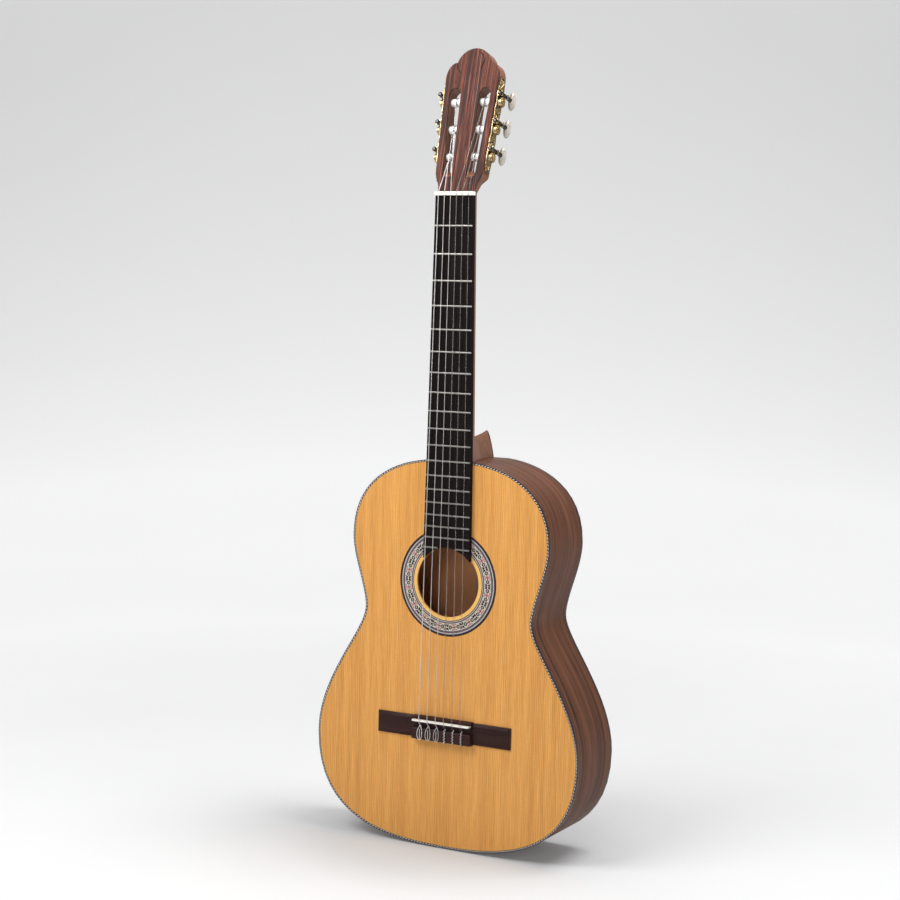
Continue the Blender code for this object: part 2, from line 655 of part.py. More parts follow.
def head_outline():
    """Half the head: a hollow curve out from the nut, a straight edge, a shoulder and a round crown."""
    half = []
    start = HEAD_START + 0.003
    for i in range(7):
        t = i / 6
        blend = t * t * (3 - 2 * t)
        width = HEAD_NECK_HALF + (HEAD_LOW[0] - HEAD_NECK_HALF) * blend
        half.append((width, start + (HEAD_LOW[1] - start) * t))
    half = [(HEAD_NECK_HALF, HEAD_START)] + half
    shoulder = (HEAD_HIGH[0] - NOTCH[0], NOTCH[1] - HEAD_HIGH[1])
    half += arc((NOTCH[0], HEAD_HIGH[1]), shoulder, 0, 90, 6)
    rise = HEAD_TOP - NOTCH[1]
    radius = (NOTCH[0] ** 2 + rise ** 2) / (2 * rise)
    start_turn = math.degrees(math.asin((NOTCH[1] - HEAD_TOP + radius) / radius))
    half += arc((0, HEAD_TOP - radius), (radius, radius), start_turn, 90, 7)[1:]
    return half + [(-x, z) for x, z in half[-2::-1]]


def slot_side(edge, height):
    return edge[0] + edge[1] * height


def slot_outline(side, bottom):
    points = []
    low_radius = (slot_side(SLOT_OUTER, bottom) - slot_side(SLOT_INNER, bottom)) / 2 + 0.0001
    high_radius = (slot_side(SLOT_OUTER, SLOT_TOP) - slot_side(SLOT_INNER, SLOT_TOP)) / 2 - 0.0001
    ends = ((low_radius, bottom + low_radius, 180), (high_radius, SLOT_TOP - high_radius, 0))
    for radius, height, start in ends:
        middle = (slot_side(SLOT_OUTER, height) + slot_side(SLOT_INNER, height)) / 2
        points += arc((middle, height), (radius, radius), start, start + 180, 6)
    return [(side * x, z) for x, z in points]


def tuner_frame(side, height):
    """On the head's side face at a height, X out to the treble, Y towards the back, Z up the side."""
    place = Matrix.Translation((side * head_edge(height), ROLLER_DEPTH, height))
    return HEAD @ place @ Matrix.Rotation(side * SIDE_ANGLE, 4, "Y")


def slot_reach(height):
    """How far in from the head's side face the slot's two walls lie."""
    outer = head_edge(height) - slot_side(SLOT_OUTER, height)
    inner = head_edge(height) - slot_side(SLOT_INNER, height)
    return outer, inner


def head_rounding():
    """A horn that opens from the neck's round back to wider than the head, and blends the two."""
    rings = []
    sections = ((HEAD_START - 0.002, HEAD_NECK_HALF + 0.0007, HEAD_THICK + 0.0011, 0.9),
                (0.017, 0.0307, 0.0217, 0.75), (0.037, 0.0450, 0.0300, 0.45), (0.200, 0.0450, 0.0300, 0.45))
    for height, half, depth, power in sections:
        ring = []
        for i in range(NECK_SIDES + 1):
            turn = math.pi * i / NECK_SIDES
            x = half * math.copysign(abs(math.cos(turn)) ** power, math.cos(turn))
            ring.append((x, -0.001 + depth * math.sin(turn) ** power, height))
        rings.append(ring)
    return loft_mesh("head_rounding", rings)


def make_head():
    slots = [slot_outline(side, CORE_SLOT_BOTTOM) for side in (1, -1)]
    low = VENEER_THICK + GAP
    core = flat_mesh("head", [head_outline()] + slots, low, HEAD_THICK, "xzy")
    head = new_object("head", core, HEAD, "mahogany")
    slots = [slot_outline(side, SLOT_BOTTOM) for side in (1, -1)]
    veneer = flat_mesh("head_veneer", [head_outline()] + slots, 0, VENEER_THICK, "xzy")
    new_object("head_veneer", veneer, HEAD, "facing")
    boolean(head, new_object("head_rounding", head_rounding(), HEAD), "INTERSECT")
    ramp_start = SLOT_BOTTOM + 0.0062
    middle = (slot_side(SLOT_OUTER, ramp_start) + slot_side(SLOT_INNER, ramp_start)) / 2
    for side in (1, -1):
        start = (side * middle, 0, ramp_start)
        end = (side * middle, 0.013, ramp_start + 0.013 * math.tan(RAMP_ANGLE))
        cut(head, rod_mesh("slot_ramp", start, end, 0.0060, 16), HEAD)
        for height in ROLLER_PLACES:
            outer, inner = slot_reach(height)
            frame = tuner_frame(side, height)
            wall = rod_mesh("side_hole", (side * 0.004, 0, 0), (-side * (outer + 0.004), 0, 0),
                            JOURNAL_RADIUS + GAP)
            cut(head, wall, frame)
            rib = rod_mesh("rib_hole", (-side * (inner - 0.004), 0, 0), (-side * (inner + 0.0070), 0, 0),
                           TIP_RADIUS + GAP)
            cut(head, rib, frame)


# ---- Tuners
def make_plate(side, name):
    middle = sum(PLATE_SPAN) / 2
    frame = tuner_frame(side, middle)
    reach = (PLATE_SPAN[1] - PLATE_SPAN[0]) / 2
    outline = []
    for sign in (1, -1):
        for i in range(13):
            z = reach * (i / 6 - 1)
            lobe = PLATE_LOBE * (math.cos(math.pi * i) - 1)
            taper = PLATE_TAPER if i in (0, 12) else 0
            outline.append((sign * (PLATE_HALF + lobe - taper), sign * z))
    low = side * GAP
    high = side * (GAP + PLATE_THICK)
    mesh = flat_mesh(name, [outline], min(low, high), max(low, high), "yzx")
    plate = new_object(name, mesh, frame, "brass")
    for height in ROLLER_PLACES:
        z = (height - middle) / math.cos(SIDE_ANGLE)
        worm_z = z + CENTRE_DISTANCE
        for sign in (1, -1):
            ends = sorted((side * (GAP + PLATE_THICK / 2), side * (GEAR_OUT + LUG_HALF)))
            depth = sorted((sign * LUG_INNER, sign * LUG_OUTER))
            near = (ends[0], depth[0], worm_z - LUG_HALF)
            lug = box_mesh("worm_lug", near, (ends[1], depth[1], worm_z + LUG_HALF))
            join(plate, lug, frame)
        x = side * GEAR_OUT
        bore = rod_mesh("worm_bore", (x, -0.010, worm_z), (x, 0.010, worm_z), SHAFT_RADIUS + GAP)
        cut(plate, bore, frame)
        hole = rod_mesh("journal_hole", (-side * 0.001, 0, z), (side * 0.003, 0, z), JOURNAL_RADIUS + GAP)
        cut(plate, hole, frame)


def make_roller(side, height, name):
    """A turned shaft: tip in the middle rib, white sleeve in the slot, journal, collar and screw head."""
    outer, inner = slot_reach(height)
    gear_low = GEAR_OUT - GEAR_THICK / 2
    gear_high = GEAR_OUT + GEAR_THICK / 2
    profile = [(-inner - 0.0065, 0), (-inner - 0.0065, TIP_RADIUS), (-inner + RUNNING_GAP, TIP_RADIUS),
               (-inner + RUNNING_GAP, ROLLER_RADIUS), (-outer - RUNNING_GAP, ROLLER_RADIUS),
               (-outer - RUNNING_GAP, JOURNAL_RADIUS), (0.0022, JOURNAL_RADIUS), (0.0022, COLLAR_RADIUS),
               (gear_low + 0.0005, COLLAR_RADIUS), (gear_high, SCREW_RADIUS),
               (gear_high + SCREW_TALL, 0.8 * SCREW_RADIUS), (gear_high + SCREW_TALL, 0)]
    rings = []
    for out, radius in profile[1:-1]:
        rings.append([(side * out, y, z) for y, z in circle(radius, 12)])
    roller = new_object(name, loft_mesh(name, rings), tuner_frame(side, height), "white_plastic")
    teeth = []
    for i in range(2 * GEAR_TEETH):
        turn = math.pi * i / GEAR_TEETH
        radius = GEAR_RADIUS - TOOTH * (-1) ** i
        teeth.append((radius * math.sin(turn), radius * math.cos(turn)))
    ends = sorted((side * gear_low, side * gear_high))
    join(roller, flat_mesh("gear", [teeth], ends[0], ends[1], "yzx"), tuner_frame(side, height))


def worm_rings():
    """Circles set off the axis and turned as they go, which makes a round single thread."""
    rings = []
    steps = round(WORM_TURNS * WORM_STEPS)
    for i in range(steps + 1):
        turns = (i / steps - 0.5) * WORM_TURNS
        angle = -math.pi / 2 - 2 * math.pi * turns
        centre = (TOOTH * math.cos(angle), TOOTH * math.sin(angle))
        rings.append([(x, turns * WORM_PITCH, z) for x, z in circle(WORM_RADIUS, 8, centre)])
    return rings


def make_key(side, height, name):
    """The worm shaft through its two bearings, with the button behind the head."""
    rings = []
    for y, radius in KEY_FRONT:
        rings.append([(x, y, z) for x, z in circle(radius, 8)])
    rings += worm_rings()
    for y, radius in KEY_REAR:
        rings.append([(x, y, z) for x, z in circle(radius, 8)])
    frame = tuner_frame(side, height) @ Matrix.Translation((side * GEAR_OUT, 0, CENTRE_DISTANCE))
    key = new_object(name, loft_mesh(name, rings), frame, "black_steel")
    work = bmesh.new()
    size = Matrix.Diagonal((*BUTTON_SIZE, 1))
    bmesh.ops.create_uvsphere(work, u_segments=10, v_segments=6, radius=1,
                              matrix=Matrix.Translation((0, BUTTON_CENTRE, 0)) @ size)
    join(key, tidy_mesh(work, "button"), frame)


def make_tuners():
    for side, name in ((1, "treble"), (-1, "bass")):
        make_plate(side, f"tuner_plate_{name}")
        for number, height in enumerate(ROLLER_PLACES, 1):
            make_roller(side, height, f"roller_{name}_{number}")
            make_key(side, height, f"key_{name}_{number}")


# ---- Strings
def roller_touch(nut_point, height, radius):
    """Where a string from the nut meets the front of its roller, in the head's own plane."""
    centre = Vector((ROLLER_DEPTH, height))
    start = Vector((nut_point.y, nut_point.z))
    reach = ROLLER_RADIUS + GAP + radius
    away = start - centre
    turn = math.acos(reach / away.length)
    base = math.atan2(away.y, away.x)
    angle = base - turn if math.cos(base - turn) < math.cos(base + turn) else base + turn
    return centre.x + reach * math.cos(angle), centre.y + reach * math.sin(angle)


def string_route(index, radius):
    """From the roller over the nut and the saddle, through the tie block and back over its top."""
    side = -1 if index < 3 else 1
    height = ROLLER_PLACES[index if index < 3 else 5 - index]
    roller_x = side * (slot_side(SLOT_OUTER, height) + slot_side(SLOT_INNER, height)) / 2
    nut_x = string_x(index, NUT_SPAN_HALF)
    nut_y = -nut_string_height(radius)
    nut_back = NECK @ Vector((nut_x, nut_y, NUT_THICK))
    in_head = HEAD.inverted() @ nut_back
    depth, up = roller_touch(in_head, height, radius)
    nut_front = NECK @ Vector((nut_x, nut_y, 0))
    x = string_x(index, BRIDGE_SPAN_HALF)
    crest = TOP_Y - SADDLE_HEIGHT - GAP - radius
    saddle_z = NUT_Z - SADDLE_DROP
    hole_y = TOP_Y - TIE_HOLE_HEIGHT
    tail_z = BRIDGE_TOP_Z - BRIDGE_TALL
    loop = GAP + radius
    over = TOP_Y - TIE_HEIGHT - loop
    crest_low = saddle_z - SADDLE_THICK / 2 - 0.0002
    bridge_points = [(x, crest, saddle_z + SADDLE_THICK / 2), (x, crest, crest_low),
                     (x, hole_y, BRIDGE_TOP_Z - CHANNEL[1]), (x, hole_y, tail_z - loop),
                     (x, TOP_Y - 0.0085, tail_z - loop + 0.0002), (x, over, tail_z + 0.0022),
                     (x, over, BRIDGE_TOP_Z - 0.0166)]
    return [HEAD @ Vector((roller_x, depth, up)), nut_back, nut_front] + [Vector(p) for p in bridge_points]


def make_strings():
    for index, radius in enumerate(STRING_RADII):
        number = 6 - index
        name = f"string_{number}"
        curve = bpy.data.curves.new(name, "CURVE")
        curve.dimensions = "3D"
        curve.bevel_depth = radius
        curve.bevel_resolution = 2
        curve.use_fill_caps = True
        route = string_route(index, radius)
        spline = curve.splines.new("POLY")
        spline.points.add(len(route) - 1)
        for point, place in zip(spline.points, route):
            point.co = (*place, 1)
        finish = "wound_silver" if number > 3 else "nylon"
        new_object_curve(name, curve, finish)


def new_object_curve(name, curve, finish):
    curve.materials.append(material(finish))
    made = bpy.data.objects.new(name, curve)
    PARTS.objects.link(made)


for old in list(bpy.data.objects):
    bpy.data.objects.remove(old)
PARTS = collection(NAME)
CUTTERS = collection("cutters")
make_plates()
make_edges()
make_ribs()
make_blocks()
make_bracing()
make_bridge()
make_nut()
make_fingerboard()
make_frets()
make_neck()
make_head()
make_tuners()
make_strings()
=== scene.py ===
# %% [markdown]
# # A classical guitar, dressed
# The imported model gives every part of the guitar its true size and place. This lesson gives those
# parts their surfaces: the grain of six woods, the inlaid rings round the sound hole, the roped
# edge, the engraved tuner plates and the strings. Each step says what the real piece is, how it
# could be made and why this way was taken.

# %% Load the frame
import json
import math

import bmesh
import bpy
from mathutils import Matrix, Vector

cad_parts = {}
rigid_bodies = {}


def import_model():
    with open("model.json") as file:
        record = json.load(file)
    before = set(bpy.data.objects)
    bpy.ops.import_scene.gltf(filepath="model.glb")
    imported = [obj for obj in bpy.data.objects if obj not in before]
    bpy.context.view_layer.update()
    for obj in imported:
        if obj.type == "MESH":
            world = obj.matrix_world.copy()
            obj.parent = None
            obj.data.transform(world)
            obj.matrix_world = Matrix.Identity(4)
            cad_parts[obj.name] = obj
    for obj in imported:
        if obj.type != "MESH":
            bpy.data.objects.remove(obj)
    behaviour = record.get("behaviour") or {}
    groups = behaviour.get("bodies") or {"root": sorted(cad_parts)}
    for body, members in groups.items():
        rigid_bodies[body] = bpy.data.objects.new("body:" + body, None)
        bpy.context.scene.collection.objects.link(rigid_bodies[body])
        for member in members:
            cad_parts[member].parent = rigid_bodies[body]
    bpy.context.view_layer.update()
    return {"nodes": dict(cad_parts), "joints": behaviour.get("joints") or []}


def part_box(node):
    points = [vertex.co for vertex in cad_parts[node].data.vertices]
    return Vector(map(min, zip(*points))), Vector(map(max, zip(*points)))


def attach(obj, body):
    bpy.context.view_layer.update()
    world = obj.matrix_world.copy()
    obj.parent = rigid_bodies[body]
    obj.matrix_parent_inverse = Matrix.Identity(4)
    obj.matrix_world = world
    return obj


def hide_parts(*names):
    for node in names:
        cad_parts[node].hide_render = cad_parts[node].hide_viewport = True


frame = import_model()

nodes = frame["nodes"]
joint_of = {joint["child"]: joint for joint in frame["joints"]}

# %% [markdown]
# ## Camera
# The camera stands to the right of the guitar, a little above the sound hole, and looks slightly
# down. A long lens keeps the neck from shrinking towards the head. Its place is set once
# and everything else is judged through it.

# %% Camera
CAMERA_PLACE = (1.1179, -2.1067, 0.6910)
CAMERA_TURN = (1.489787, -0.025493, 0.49954)
FOCAL_LENGTH = 76.312
lens = bpy.data.cameras.new("studio_camera")
lens.sensor_width = 36.0
lens.lens = FOCAL_LENGTH
lens.clip_end = 60.0
camera = bpy.data.objects.new("studio_camera", lens)
bpy.context.scene.collection.objects.link(camera)
camera.location = CAMERA_PLACE
camera.rotation_euler = CAMERA_TURN
bpy.context.scene.camera = camera
print("camera", round(camera.location.length, 3), "m from the tail")

# %% [markdown]
# ## Tools for the bench
# An operator works on whatever is selected, and loading leaves every CAD part selected. So each
# step starts by letting go of everything. A second helper ends a piece: it keeps the place in the
# mesh, smooths it by angle, gives it its finish and lets it ride on the body that carries it. The
# others copy a CAD part, pick faces by a test, cut one shape out of another and ease the edges.

# %% Selecting and finishing
def let_go():
    """Leaves edit mode and selects nothing."""
    if bpy.context.object and bpy.context.object.mode != "OBJECT":
        bpy.ops.object.mode_set(mode="OBJECT")
    bpy.ops.object.select_all(action="DESELECT")


def hold(piece):
    """Makes one piece the active and only selected object."""
    let_go()
    piece.select_set(True)
    bpy.context.view_layer.objects.active = piece
    return piece


def apply_modifiers(piece):
    hold(piece)
    for modifier in list(piece.modifiers):
        bpy.ops.object.modifier_apply(modifier=modifier.name)


def finish_piece(piece, name, finishes, body="root", place=None, angle=35):
    """Applies what is live, puts the place into the mesh and hands the piece to its body."""
    apply_modifiers(piece)
    bpy.ops.object.transform_apply(location=True, rotation=True, scale=True)
    if place is not None:
        piece.data.transform(place)
    bpy.ops.object.shade_smooth_by_angle(angle=math.radians(angle))
    piece.name = name
    piece.data.name = name
    for finish in finishes if isinstance(finishes, list) else [finishes]:
        piece.data.materials.append(finish)
    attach(piece, body)
    return piece


def skin_of(node, name, angle=35):
    """A copy of a CAD part's mesh as one skin."""
    piece = bpy.data.objects.new(name, nodes[node].data.copy())
    bpy.context.scene.collection.objects.link(piece)
    hold(piece)
    piece.data.materials.clear()
    bpy.ops.mesh.customdata_custom_splitnormals_clear()
    bpy.ops.object.mode_set(mode="EDIT")
    bpy.ops.mesh.select_all(action="SELECT")
    bpy.ops.mesh.remove_doubles(threshold=0.00001)
    bpy.ops.object.mode_set(mode="OBJECT")
    bpy.ops.object.shade_smooth_by_angle(angle=math.radians(angle))
    return piece


def merged_copy(node, name, angle=35):
    """A CAD part's skin that stands for the part itself."""
    piece = skin_of(node, name, angle)
    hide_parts(node)
    return piece


def pick_faces(piece, wanted):
    """Opens a piece in edit mode with only the faces selected that pass a test."""
    hold(piece)
    bpy.ops.object.mode_set(mode="EDIT")
    bpy.ops.mesh.select_mode(type="FACE")
    bpy.ops.mesh.select_all(action="DESELECT")
    bpy.ops.object.mode_set(mode="OBJECT")
    for face in piece.data.polygons:
        face.select = wanted(face)
    bpy.ops.object.mode_set(mode="EDIT")


def carve(piece, tool, **settings):
    """Cuts a tool's shape out of a piece and puts the tool away."""
    cut = piece.modifiers.new("cut", "BOOLEAN")
    cut.object = tool
    cut.solver = "EXACT"
    for name, value in settings.items():
        setattr(cut, name, value)
    apply_modifiers(piece)
    bpy.data.objects.remove(tool)


def soften(piece, width, segments):
    """A small bevel along every edge sharper than 30 degrees."""
    edge = piece.modifiers.new("edge", "BEVEL")
    edge.width = width
    edge.segments = segments
    edge.limit_method = "ANGLE"
    edge.angle_limit = math.radians(30)


def dress(node, finish):
    """Gives a CAD part another finish and leaves its shape alone."""
    for place in nodes[node].material_slots:
        place.material = finish


def axes_at(origin, x_axis, y_axis):
    """A frame with its X and Y along the two given directions."""
    x = Vector(x_axis).normalized()
    y = Vector(y_axis).normalized()
    turned = Matrix((x, y, x.cross(y))).transposed().to_4x4()
    return Matrix.Translation(Vector(origin)) @ turned


print("tools ready")

# %% [markdown]
# ## Shader helpers
# A finish is a small tree of nodes. Adding a node, setting it and wiring it takes three steps each
# time, so one helper does them together. Effects that several finishes share, such as wood grain,
# become node groups with named inputs and outputs.

# %% Node helpers
def feed(tree, made, socket, value):
    """Sets a socket to a value, or wires it to another node's output."""
    if isinstance(value, bpy.types.NodeSocket):
        tree.links.new(value, made.inputs[socket])
    else:
        made.inputs[socket].default_value = value


def node(tree, kind, links=None, **settings):
    """Adds a shader node. links gives each named socket a value or another node's output."""
    made = tree.nodes.new("ShaderNode" + kind)
    for name, value in settings.items():
        setattr(made, name, value)
    for socket, value in (links or {}).items():
        feed(tree, made, socket, value)
    return made


def sums(tree, operation, a, b=0.0, c=0.0, clamp=False):
    """One Math node's result."""
    return node(tree, "Math", {0: a, 1: b, 2: c}, operation=operation, use_clamp=clamp).outputs[0]


def mix(tree, factor, a, b, blend="MIX"):
    """Two colours mixed by a factor."""
    made = node(tree, "Mix", {0: factor, 6: a, 7: b}, data_type="RGBA", blend_type=blend)
    return made.outputs[2]


def remap(tree, value, low, high, to_low=0.0, to_high=1.0):
    """A value's range stretched onto another, and clamped."""
    links = {"Value": value, "From Min": low, "From Max": high, "To Min": to_low, "To Max": to_high}
    return node(tree, "MapRange", links, clamp=True).outputs[0]


def noise(tree, vector, scale, detail=2.0, roughness=0.5):
    """A soft random value between 0 and 1."""
    links = {"Vector": vector, "Scale": scale, "Detail": detail, "Roughness": roughness}
    return node(tree, "TexNoise", links).outputs["Fac"]


def stretched(tree, vector, size):
    """Coordinates scaled by three factors, so that a pattern stretches along one of them."""
    return node(tree, "VectorMath", {0: vector, 1: size}, operation="MULTIPLY").outputs[0]


def new_group(name, takes, gives):
    """An empty node group with named sockets, and its two end nodes."""
    tree = bpy.data.node_groups.new(name, "ShaderNodeTree")
    for socket, kind, default in takes:
        made = tree.interface.new_socket(name=socket, in_out="INPUT", socket_type="NodeSocket" + kind)
        if default is not None:
            made.default_value = default
    for socket, kind in gives:
        tree.interface.new_socket(name=socket, in_out="OUTPUT", socket_type="NodeSocket" + kind)
    return tree, tree.nodes.new("NodeGroupInput").outputs, tree.nodes.new("NodeGroupOutput").inputs


def place_group(tree, group, links):
    """One use of a shared group, with its own values."""
    made = tree.nodes.new("ShaderNodeGroup")
    made.node_tree = group
    for socket, value in links.items():
        feed(tree, made, socket, value)
    return made.outputs


def new_finish(name, **constants):
    """A material with its Principled shader, whose plain values are set on the shader's sockets."""
    finish = bpy.data.materials.new(name)
    finish.use_nodes = True
    shader = finish.node_tree.nodes["Principled BSDF"]
    for socket, value in constants.items():
        shader.inputs[socket.replace("_", " ")].default_value = value
    return finish, finish.node_tree, shader


def wire(tree, source, shader, socket):
    tree.links.new(source, shader.inputs[socket])


def bump(tree, shader, height, strength=0.3, distance=0.0002):
    """Sends a height to the shader's normal."""
    made = node(tree, "Bump", {"Height": height, "Strength": strength, "Distance": distance})
    wire(tree, made.outputs[0], shader, "Normal")


print("node helpers ready")

# %% [markdown]
# ## Shared effect: wood grain
# Every wood here is cut along its fibres, so one recipe does for all. Year lines run along Z and
# are spaced along X, with a drift that lets them wander and bunch. Fine fibres lie between them,
# short open pores break the surface, and a slow cloud shifts the tone. The wood's own numbers say
# how strong each of them is: cedar has lines and few pores, rosewood has bands and many.

# %% Wood grain group
grain, given, made = new_group(
    "wood_grain",
    [("Vector", "Vector", None), ("Light", "Color", (0.5, 0.3, 0.15, 1)),
     ("Dark", "Color", (0.2, 0.1, 0.05, 1)), ("Lines", "Float", 500.0), ("Wander", "Float", 1.0),
     ("Line Strength", "Float", 0.4), ("Band Strength", "Float", 0.3),
     ("Fibre Strength", "Float", 0.4), ("Pore Strength", "Float", 0.3)],
    [("Color", "Color"), ("Shade", "Float"), ("Height", "Float")])
along = stretched(grain, given["Vector"], (1.0, 1.0, 0.05))
drift = noise(grain, along, 22.0, 3.0)
across = node(grain, "SeparateXYZ", {0: given["Vector"]}).outputs[0]
shift = sums(grain, "MULTIPLY", sums(grain, "SUBTRACT", drift, 0.5), given["Wander"])
line_place = sums(grain, "MULTIPLY_ADD", across, given["Lines"], sums(grain, "MULTIPLY", shift, 14.0))
saw = sums(grain, "FRACT", line_place)
year_line = sums(grain, "POWER", sums(grain, "ABSOLUTE", sums(grain, "MULTIPLY_ADD", saw, 2.0, -1.0)), 2.5)
bands = noise(grain, stretched(grain, given["Vector"], (1.0, 1.0, 0.02)), 95.0, 4.0, 0.6)
fibres = noise(grain, stretched(grain, given["Vector"], (1.0, 1.0, 0.02)), 900.0, 3.0, 0.65)
pores = noise(grain, stretched(grain, given["Vector"], (1.0, 1.0, 0.06)), 2300.0, 1.0)
pore_mask = remap(grain, pores, 0.60, 0.72)
shade = sums(grain, "MULTIPLY_ADD", year_line, given["Line Strength"], 0.32)
shade = sums(grain, "MULTIPLY_ADD", sums(grain, "SUBTRACT", bands, 0.5),
             sums(grain, "MULTIPLY", given["Band Strength"], 3.0), shade)
shade = sums(grain, "MULTIPLY_ADD", sums(grain, "SUBTRACT", fibres, 0.5), given["Fibre Strength"], shade)
shade = sums(grain, "MULTIPLY_ADD", pore_mask, given["Pore Strength"], shade, clamp=True)
grain.links.new(mix(grain, shade, given["Light"], given["Dark"]), made["Color"])
grain.links.new(shade, made["Shade"])
height = sums(grain, "MULTIPLY_ADD", pore_mask, -0.6, sums(grain, "SUBTRACT", 1.0, shade))
grain.links.new(height, made["Height"])
print("group", grain.name, "with", len(grain.nodes), "nodes")

# %% [markdown]
# ## Shared effect: handling
# No surface is evenly glossy. Lacquer levels out in soft waves, and hands leave faint smears and
# dust. This group takes a middle roughness and spreads it a little in two sizes of cloud. It also
# gives a tiny wave for the bump, so reflections aren't ruler straight.

# %% Handling group
handling, given, made = new_group(
    "handling", [("Vector", "Vector", None), ("Roughness", "Float", 0.4), ("Spread", "Float", 0.12)],
    [("Roughness", "Float"), ("Wave", "Float"), ("Dust", "Float")])
smears = noise(handling, given["Vector"], 28.0, 4.0, 0.6)
specks = noise(handling, given["Vector"], 420.0, 2.0, 0.7)
cloud = sums(handling, "MULTIPLY_ADD", sums(handling, "SUBTRACT", smears, 0.5), 2.0,
             sums(handling, "MULTIPLY", sums(handling, "SUBTRACT", specks, 0.5), 0.7))
handling.links.new(sums(handling, "MULTIPLY_ADD", cloud, given["Spread"], given["Roughness"], clamp=True),
                   made["Roughness"])
handling.links.new(noise(handling, given["Vector"], 55.0, 1.0), made["Wave"])
handling.links.new(remap(handling, specks, 0.62, 0.74), made["Dust"])
print("group", handling.name, "with", len(handling.nodes), "nodes")


# %% [markdown]
# ## From grain to a finished wood
# A wood is the grain group plus the handling group plus a shader. Fibres run along Z, so a piece
# cut another way turns its coordinates first, and a bent rib reads its own UV map instead. A book
# matched plate takes the distance from the middle, so both halves mirror each other. Planed
# softwood also has a silk: short shimmering stripes across the fibres.

# %% A wood finish
def wood(name, light, dark, size=(1, 1, 1), turn=(0, 0, 0), lines=500.0, wander=1.0, line=0.4,
         band=0.3, fibre=0.4, pore=0.3, gloss=0.4, coat=0.0, shine=0.2, mirrored=False,
         on_uv=False, relief=0.25, silk=0.0):
    """A wood whose fibres run along Z of the turned coordinates, or along V of the piece's UV map."""
    finish, tree, shader = new_finish(name, Coat_Weight=coat, Coat_Roughness=0.2, Specular_IOR_Level=shine)
    coordinates = node(tree, "TexCoord")
    source = coordinates.outputs["UV" if on_uv else "Object"]
    mapping = node(tree, "Mapping", {"Vector": source, "Rotation": turn, "Scale": size})
    vector = mapping.outputs[0]
    if on_uv:
        flat = node(tree, "SeparateXYZ", {0: vector})
        vector = node(tree, "CombineXYZ", {0: flat.outputs[0], 2: flat.outputs[1]}).outputs[0]
    if mirrored:
        flat = node(tree, "SeparateXYZ", {0: vector})
        half = sums(tree, "ABSOLUTE", flat.outputs[0])
        vector = node(tree, "CombineXYZ", {0: half, 1: flat.outputs[1], 2: flat.outputs[2]}).outputs[0]
    made = place_group(tree, grain, {
        "Vector": vector, "Light": (*light, 1), "Dark": (*dark, 1), "Lines": lines, "Wander": wander,
        "Line Strength": line, "Band Strength": band, "Fibre Strength": fibre, "Pore Strength": pore})
    worn = place_group(tree, handling, {"Vector": vector, "Roughness": gloss, "Spread": 0.10})
    ripple = noise(tree, stretched(tree, vector, (0.25, 1.0, 1.0)), 420.0, 2.0)
    across = sums(tree, "MULTIPLY", remap(tree, ripple, 0.35, 0.70), silk)
    wire(tree, mix(tree, across, made["Color"], (*dark, 1)), shader, "Base Color")
    wire(tree, worn["Roughness"], shader, "Roughness")
    bump(tree, shader, sums(tree, "MULTIPLY_ADD", worn["Wave"], 0.4, made["Height"]), relief)
    return finish


# %% [markdown]
# ## The woods
# The top is a honey-coloured cedar with straight year lines, split and opened like a book. Back
# and ribs are a dark walnut-brown wood with reddish bands. The neck is mahogany, fingerboard and
# bridge are nearly black, the head's face is a reddish striped veneer, and the inside bars are
# pale spruce.

# %% Make the woods
cedar = wood("cedar_top", (0.85, 0.430, 0.112), (0.42, 0.155, 0.026), lines=460, wander=0.6, line=0.34,
             band=0.26, fibre=1.15, pore=0.12, gloss=0.45, shine=0.3, mirrored=True, silk=0.08)
walnut_back = wood("walnut_back", (0.170, 0.068, 0.036), (0.038, 0.014, 0.008), lines=95, wander=1.6,
                   line=0.35, band=0.6, fibre=0.5, pore=0.5, gloss=0.38, mirrored=True)
walnut_rib = wood("walnut_rib", (0.172, 0.068, 0.036), (0.036, 0.014, 0.008), lines=130, wander=1.2,
                  line=0.30, band=0.70, fibre=0.7, pore=0.5, gloss=0.42, shine=0.07, on_uv=True)
mahogany = wood("mahogany_neck", (0.240, 0.110, 0.062), (0.085, 0.034, 0.020), lines=160, wander=1.5,
                line=0.15, band=0.35, fibre=0.5, pore=0.6, gloss=0.45)
# Paler mahogany for the head's ramps: the fresh cut wood, made paler as painted light.
cut_and_lit_mahogany = wood("cut_and_lit_mahogany", (0.62, 0.27, 0.12), (0.36, 0.13, 0.055), lines=300, wander=1.5,
                    line=0.2, band=0.3, fibre=0.6, pore=0.5, gloss=0.6, shine=0.1)
ebony = wood("ebony_board", (0.015, 0.011, 0.0105), (0.004, 0.003, 0.003), lines=300, wander=0.8,
             line=0.25, band=0.5, fibre=0.8, pore=0.5, gloss=0.60, shine=0.03)
bridge_wood = wood("bridge_rosewood", (0.046, 0.018, 0.015), (0.010, 0.004, 0.004),
                   turn=(0, math.pi / 2, 0), lines=300, wander=1.2, line=0.2, band=0.4, fibre=0.6,
                   pore=0.5, gloss=0.36, shine=0.13)
pale = wood("pale_spruce", (0.66, 0.44, 0.24), (0.42, 0.24, 0.11), lines=700, line=0.3, band=0.25,
            fibre=0.5, pore=0.1, gloss=0.6)
edge_wood = wood("edge_rosewood", (0.050, 0.016, 0.014), (0.012, 0.005, 0.005), lines=200, band=0.4,
                 gloss=0.3)
print("woods", sorted(m.name for m in bpy.data.materials))

# %% [markdown]
# ## The head's striped veneer
# The face of the head is a thin sheet of striped rosewood: brick red bands, grey-brown bands and
# one hair-thin pale line. The grain group gives the fibres. Broad bands of two sizes of stretched
# noise are laid over it, turned to lie along the tilted face.

# %% Striped veneer
key_axis = Vector(joint_of["key_treble_1"]["axis"])
head_tilt = math.atan2(-key_axis.z, key_axis.y)


